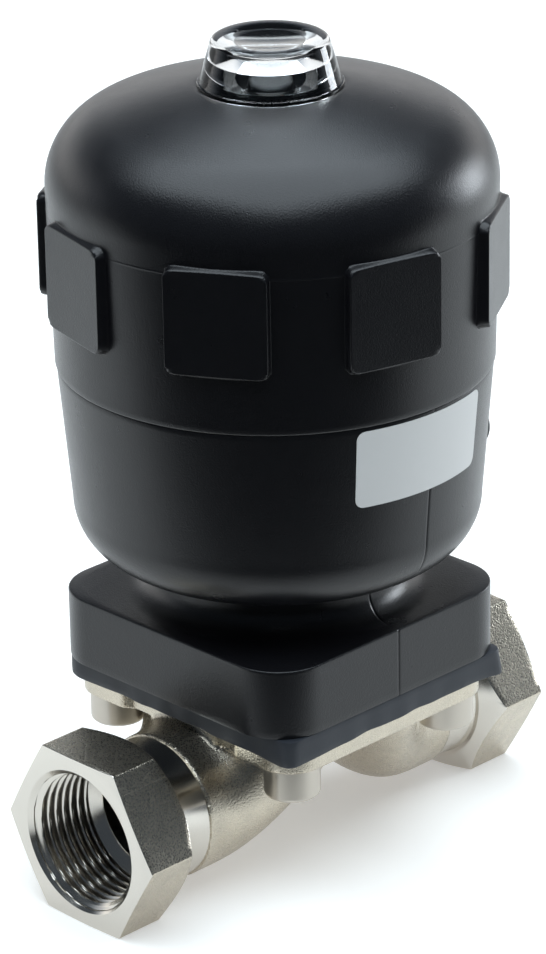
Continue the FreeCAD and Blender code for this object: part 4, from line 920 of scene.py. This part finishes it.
shoulder_r = COVER_SHOULDER_RADIUS - SHOULDER_ROUND
crown_z = SHOULDER_Z - math.sqrt((CROWN_RADIUS - SHOULDER_ROUND) ** 2 - shoulder_r ** 2)
tangent = math.degrees(math.atan2(SHOULDER_Z - crown_z, shoulder_r))


def dome(wall, edge):
    """Rounded shoulder and crown, offset inwards by a wall, up to a radius near the top."""
    top = math.degrees(math.acos(edge / (CROWN_RADIUS - wall)))
    return np.vstack([
        arc((shoulder_r, SHOULDER_Z), SHOULDER_ROUND - wall, 0, tangent, 30),
        arc((0, crown_z), CROWN_RADIUS - wall, tangent, top, 24)[1:],
    ])


edge = np.array([-0.7, -0.45, -0.3, -0.15, 0, 0.15, 0.3, 0.45, 0.6, 0.8])
side_z = np.concatenate([
    np.linspace(SEAM_Z + 0.5, SHOULDER_Z, 42)[:-1],
    PAD_MIDDLE - PAD_HALF_HEIGHT - edge,
    PAD_MIDDLE + PAD_HALF_HEIGHT + edge,
    MOULD_LINE + np.array([-0.3, -0.12, 0, 0.12, 0.3]),
])
side_z = np.sort(side_z)
side_share = (side_z - SEAM_Z) / (SHOULDER_Z - SEAM_Z)
side_r = COVER_SEAM_RADIUS + side_share * (COVER_SHOULDER_RADIUS - COVER_SEAM_RADIUS)
outer = np.vstack([
    [(COVER_SEAM_RADIUS - 0.45, SEAM_Z), (COVER_SEAM_RADIUS - 0.14, SEAM_Z + 0.13)],
    np.column_stack([side_r, side_z]),
    dome(0, LAND_RADIUS),
])
groove_r = SOCKET_RADIUS + SEAL_GROOVE_DEPTH
groove_top = CAP_FOOT - SEAL_GROOVE_TOP
groove_foot = CAP_FOOT - SEAL_GROOVE_FOOT
spigot_foot = CAP_FOOT - SPIGOT_LENGTH
socket_outer = SOCKET_RADIUS + SOCKET_WALL
skirt = COLLAR_RADIUS + 0.2
inner = np.vstack([
    [(LAND_RADIUS - 0.1, CAP_FOOT), (SOCKET_RADIUS + 0.3, CAP_FOOT)],
    [(SOCKET_RADIUS, CAP_FOOT - 0.3), (SOCKET_RADIUS, groove_top)],
    [(groove_r, groove_top), (groove_r, groove_foot)],
    [(SOCKET_RADIUS, groove_foot), (SOCKET_RADIUS, spigot_foot)],
    [(GUIDE_RADIUS, spigot_foot), (GUIDE_RADIUS, TUBE_FOOT)],
    [(TUBE_RADIUS, TUBE_FOOT), (TUBE_RADIUS, SOCKET_UNDER), (socket_outer, SOCKET_UNDER)],
    dome(COVER_WALL, socket_outer)[::-1],
    [(skirt + 0.6, COLLAR_TOP + 1.0), (skirt, COLLAR_TOP + 1.0), (skirt, SEAM_Z)],
])
profile = np.vstack([outer, inner])

turn_edge = np.degrees(np.arctan((PAD_HALF_WIDTH + edge) / PAD_DISTANCE))
sector = np.concatenate([np.arange(-22.5, 22.5, 1.0), turn_edge, -turn_edge])
bearing = np.concatenate([np.sort(sector) + PAD_FIRST + 45 * k for k in range(8)])
off_pad = np.tile(np.sort(sector), 8)
angle = np.radians(bearing)
radius = profile[:, 0, None] + 0 * angle
height = profile[:, 1, None]
# Each pad pulls the wall out to its flat face inside the rim of a rounded rectangle
across = np.abs(PAD_DISTANCE * np.tan(np.radians(off_pad)))[None, :] - PAD_HALF_WIDTH + PAD_CORNER
along = np.abs(height - PAD_MIDDLE) - PAD_HALF_HEIGHT + PAD_CORNER
rim = (np.hypot(np.maximum(across, 0), np.maximum(along, 0))
       + np.minimum(np.maximum(across, along), 0) - PAD_CORNER)
share = np.clip((0.5 - rim) / 0.85, 0, 1)
share = np.sin(share * np.pi / 2) ** 1.5
share[len(outer):] = 0
face = PAD_DISTANCE / np.cos(np.radians(off_pad))[None, :]
radius = radius + share * (face - radius)
line = LINE_HEIGHT * np.exp(-((height - MOULD_LINE) / LINE_HALF_WIDTH) ** 2) * (1 - share)
line[len(outer):] = 0
points, quads = ring_shell(turned_grid(radius + line, height, angle))
cover = make_piece("actuator_cover_shell", points, quads, "root",
                   black_polyamide, 50.0)
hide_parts("actuator_cover")

# Indicator cap: turned and polished clear polycarbonate, a cone with a dished top and a stepped
# window behind it. Its spigot goes down into the cover's socket.
clear, tree, shader = new_material("clear_polycarbonate", "F4F8FA", 0.05)
shader.inputs["Transmission Weight"].default_value = 1.0
shader.inputs["IOR"].default_value = 1.58
add_relief(tree, shader, (3.0, 0.006))
CAP_TOP = CAP_FOOT + 10.9
CAP_CEILING = CAP_TOP - 3.2
DISH_RADIUS = 9.0
DISH_DEPTH = 0.9
CAP_TOP_RADIUS = 12.1
CAP_TOP_ROUND = 1.3
CONE_FOOT_RADIUS = 15.7
CAP_RIM_RADIUS = 16.4
SPIGOT_RADIUS = 11.0
SPIGOT_BORE = 8.6
WINDOW_RADIUS = 11.6
dish_ball = (DISH_RADIUS ** 2 + DISH_DEPTH ** 2) / (2 * DISH_DEPTH)
dish_edge = -math.degrees(math.acos(DISH_RADIUS / dish_ball))
profile = np.vstack([
    arc((0, CAP_TOP - DISH_DEPTH + dish_ball), dish_ball, -89.7, dish_edge, 16),
    arc((CAP_TOP_RADIUS, CAP_TOP - CAP_TOP_ROUND), CAP_TOP_ROUND, 90, 12, 8),
    [(CONE_FOOT_RADIUS, CAP_FOOT + 1.6), (CONE_FOOT_RADIUS + 0.2, CAP_FOOT + 1.05)],
    [(CAP_RIM_RADIUS - 0.15, CAP_FOOT + 1.0), (CAP_RIM_RADIUS, CAP_FOOT + 0.85)],
    [(CAP_RIM_RADIUS, CAP_FOOT + 0.1), (CAP_RIM_RADIUS - 0.1, CAP_FOOT)],
    [(SPIGOT_RADIUS, CAP_FOOT), (SPIGOT_RADIUS, spigot_foot + 0.2)],
    [(SPIGOT_RADIUS - 0.2, spigot_foot), (SPIGOT_BORE + 0.2, spigot_foot)],
    [(SPIGOT_BORE, spigot_foot + 0.2), (SPIGOT_BORE, CAP_FOOT)],
    [(WINDOW_RADIUS, CAP_FOOT + 1.0), (WINDOW_RADIUS, CAP_FOOT + 5.6)],
    [(SPIGOT_BORE, CAP_CEILING - 0.3), (SPIGOT_BORE - 0.3, CAP_CEILING), (0.3, CAP_CEILING)],
])
turn = np.linspace(0, 2 * np.pi, 160, endpoint=False)
points, quads = closed_shell(turned_grid(profile[:, 0, None], profile[:, 1, None], turn))
cap = make_piece("indicator_cap_clear", points, quads, "root", clear, 30.0)
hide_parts("indicator_cap")

# Springs: two nested coils of drawn and shot-peened steel wire, closed and ground at both ends.
# The path rises by half a cosine wave in each half turn; the wire's circle stands across it.
spring_steel, tree, shader = new_material("shot_peened_spring_steel", "6E7174", 0.42, 1.0)
add_relief(tree, shader, (0.5, 0.010))
SPRING_FOOT = 91.3
SPRING_LENGTH = 80.0
WIRE_SIDES = 16


def coil(radius, wire, half_turns):
    """Tube of the wire's radius round a coil; its first and last two half turns are closed."""
    closed_rise = 1.1 * wire
    open_rise = (SPRING_LENGTH - 2 * wire - 4 * closed_rise) / (half_turns - 4)
    count = np.arange(half_turns)
    rise = np.where((count < 2) | (count >= half_turns - 2), closed_rise, open_rise)
    start = SPRING_FOOT + wire + np.concatenate([[0], np.cumsum(rise)])[:-1]
    turn = np.linspace(0, half_turns * np.pi, half_turns * 24 + 1)
    half = np.minimum((turn / np.pi).astype(int), half_turns - 1)
    within = turn - half * np.pi
    z = start[half] + rise[half] * (1 - np.cos(within)) / 2
    climb = rise[half] * np.sin(within) / 2 / radius
    out = np.stack([np.cos(turn), np.sin(turn), 0 * turn], -1)
    ahead = np.stack([-np.sin(turn), np.cos(turn), climb], -1)
    ahead = ahead / np.linalg.norm(ahead, axis=1)[:, None]
    third = np.cross(ahead, out)
    around = np.linspace(0, 2 * np.pi, WIRE_SIDES, endpoint=False)[None, :, None]
    centre = out * radius + np.stack([0 * z, 0 * z, z], -1)
    section = np.cos(around) * out[:, None] + np.sin(around) * third[:, None]
    return centre[:, None] + wire * section


for name, radius, wire, half_turns in (("spring_outer", 29.0, 2.5, 12),
                                       ("spring_inner", 18.5, 1.8, 16)):
    points, quads = closed_shell(coil(radius, wire, half_turns))
    spring = make_piece(name + "_coil", points, quads, None, spring_steel, 60.0)
    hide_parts(name)
    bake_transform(spring)
dress(spring_steel, "spring_seat")

# Spindle and compressor: both turned from stainless bar, and the spindle ground where its seals
# run. The compressor sits at the spindle's foot and presses the diaphragm on the weir.
bar_steel, tree, shader = new_material("turned_stainless_bar", "C4C4C0", 0.22, 1.0)
add_relief(tree, shader, (0.35, 0.004))
dress(bar_steel, "spindle", "compressor")

# Inserts and bushes: the inserts for the body screws and the air connection's threaded bush are
# turned from brass, with fine tool marks. The spindle's guide bush is porous sintered bronze.
brass, tree, shader = new_material("turned_brass", "C9A45A", 0.28, 1.0)
add_relief(tree, shader, (0.4, 0.005))
dress(brass, "thread_inserts", "pilot_bush")
bronze, tree, shader = new_material("sintered_bronze", "A77B4C", 0.46, 1.0)
add_relief(tree, shader, (0.22, 0.015))
dress(bronze, "guide_bush")

# Seals: the O-rings, the spindle's wiper and the piston's lip seal, all moulded nitrile rubber
# with a fine satin skin, each laid in its groove.
nitrile, tree, shader = new_material("nitrile_rubber", "17181A", 0.48)
add_relief(tree, shader, (0.6, 0.008))
dress(nitrile, "spindle_o_rings", "spindle_wiper", "cover_o_ring", "piston_seal", "cap_o_ring",
      "pilot_fitting_seal")

# Piston: moulded of natural polyamide, off-white and slightly waxy, with a slide ring of filled
# plastic laid round it that runs on the cylinder's wall.
natural, tree, shader = new_material("natural_polyamide", "D9D3C2", 0.44)
shader.inputs["Subsurface Weight"].default_value = 0.1
shader.inputs["Subsurface Scale"].default_value = 0.002
add_relief(tree, shader, (2.0, 0.015))
dress(natural, "piston")
slide, tree, shader = new_material("filled_slide_plastic", "6B7068", 0.5)
add_relief(tree, shader, (0.8, 0.010))
dress(slide, "piston_guide_ring")

# Position indicator: a red moulding on the spindle's upper end, under the clear cap. Its head is
# black, so that red shows only when the valve opens and lifts it.
SIGNAL_RED = "B3261E"
HEAD_BLACK = "141516"
BLACK_HEAD = 6.4
signal, tree, shader = new_material("signal_red_plastic", SIGNAL_RED, 0.34)
add_relief(tree, shader, (1.5, 0.008))
place = add_node(tree, "ShaderNodeTexCoord")
split = add_node(tree, "ShaderNodeSeparateXYZ", {0: place.outputs["Object"]})
top_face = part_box("position_indicator")[1][2] - BLACK_HEAD * MM
black = add_node(tree, "ShaderNodeMath", {0: split.outputs["Z"], 1: top_face},
                 operation="GREATER_THAN")
paint = add_node(tree, "ShaderNodeMix", {"Factor": black.outputs[0], "A": colour(SIGNAL_RED),
                                         "B": colour(HEAD_BLACK)}, data_type="RGBA")
tree.links.new(paint.outputs["Result"], shader.inputs["Base Color"])
dress(signal, "position_indicator")

# Air connection: a black moulded push-in fitting in the threaded bush, with the release collar
# that is pushed in to let the air tube go.
fitting, tree, shader = new_material("moulded_fitting_plastic", "1D1E20", 0.36)
add_relief(tree, shader, (1.0, 0.010))
dress(fitting, "pilot_fitting", "pilot_collet")
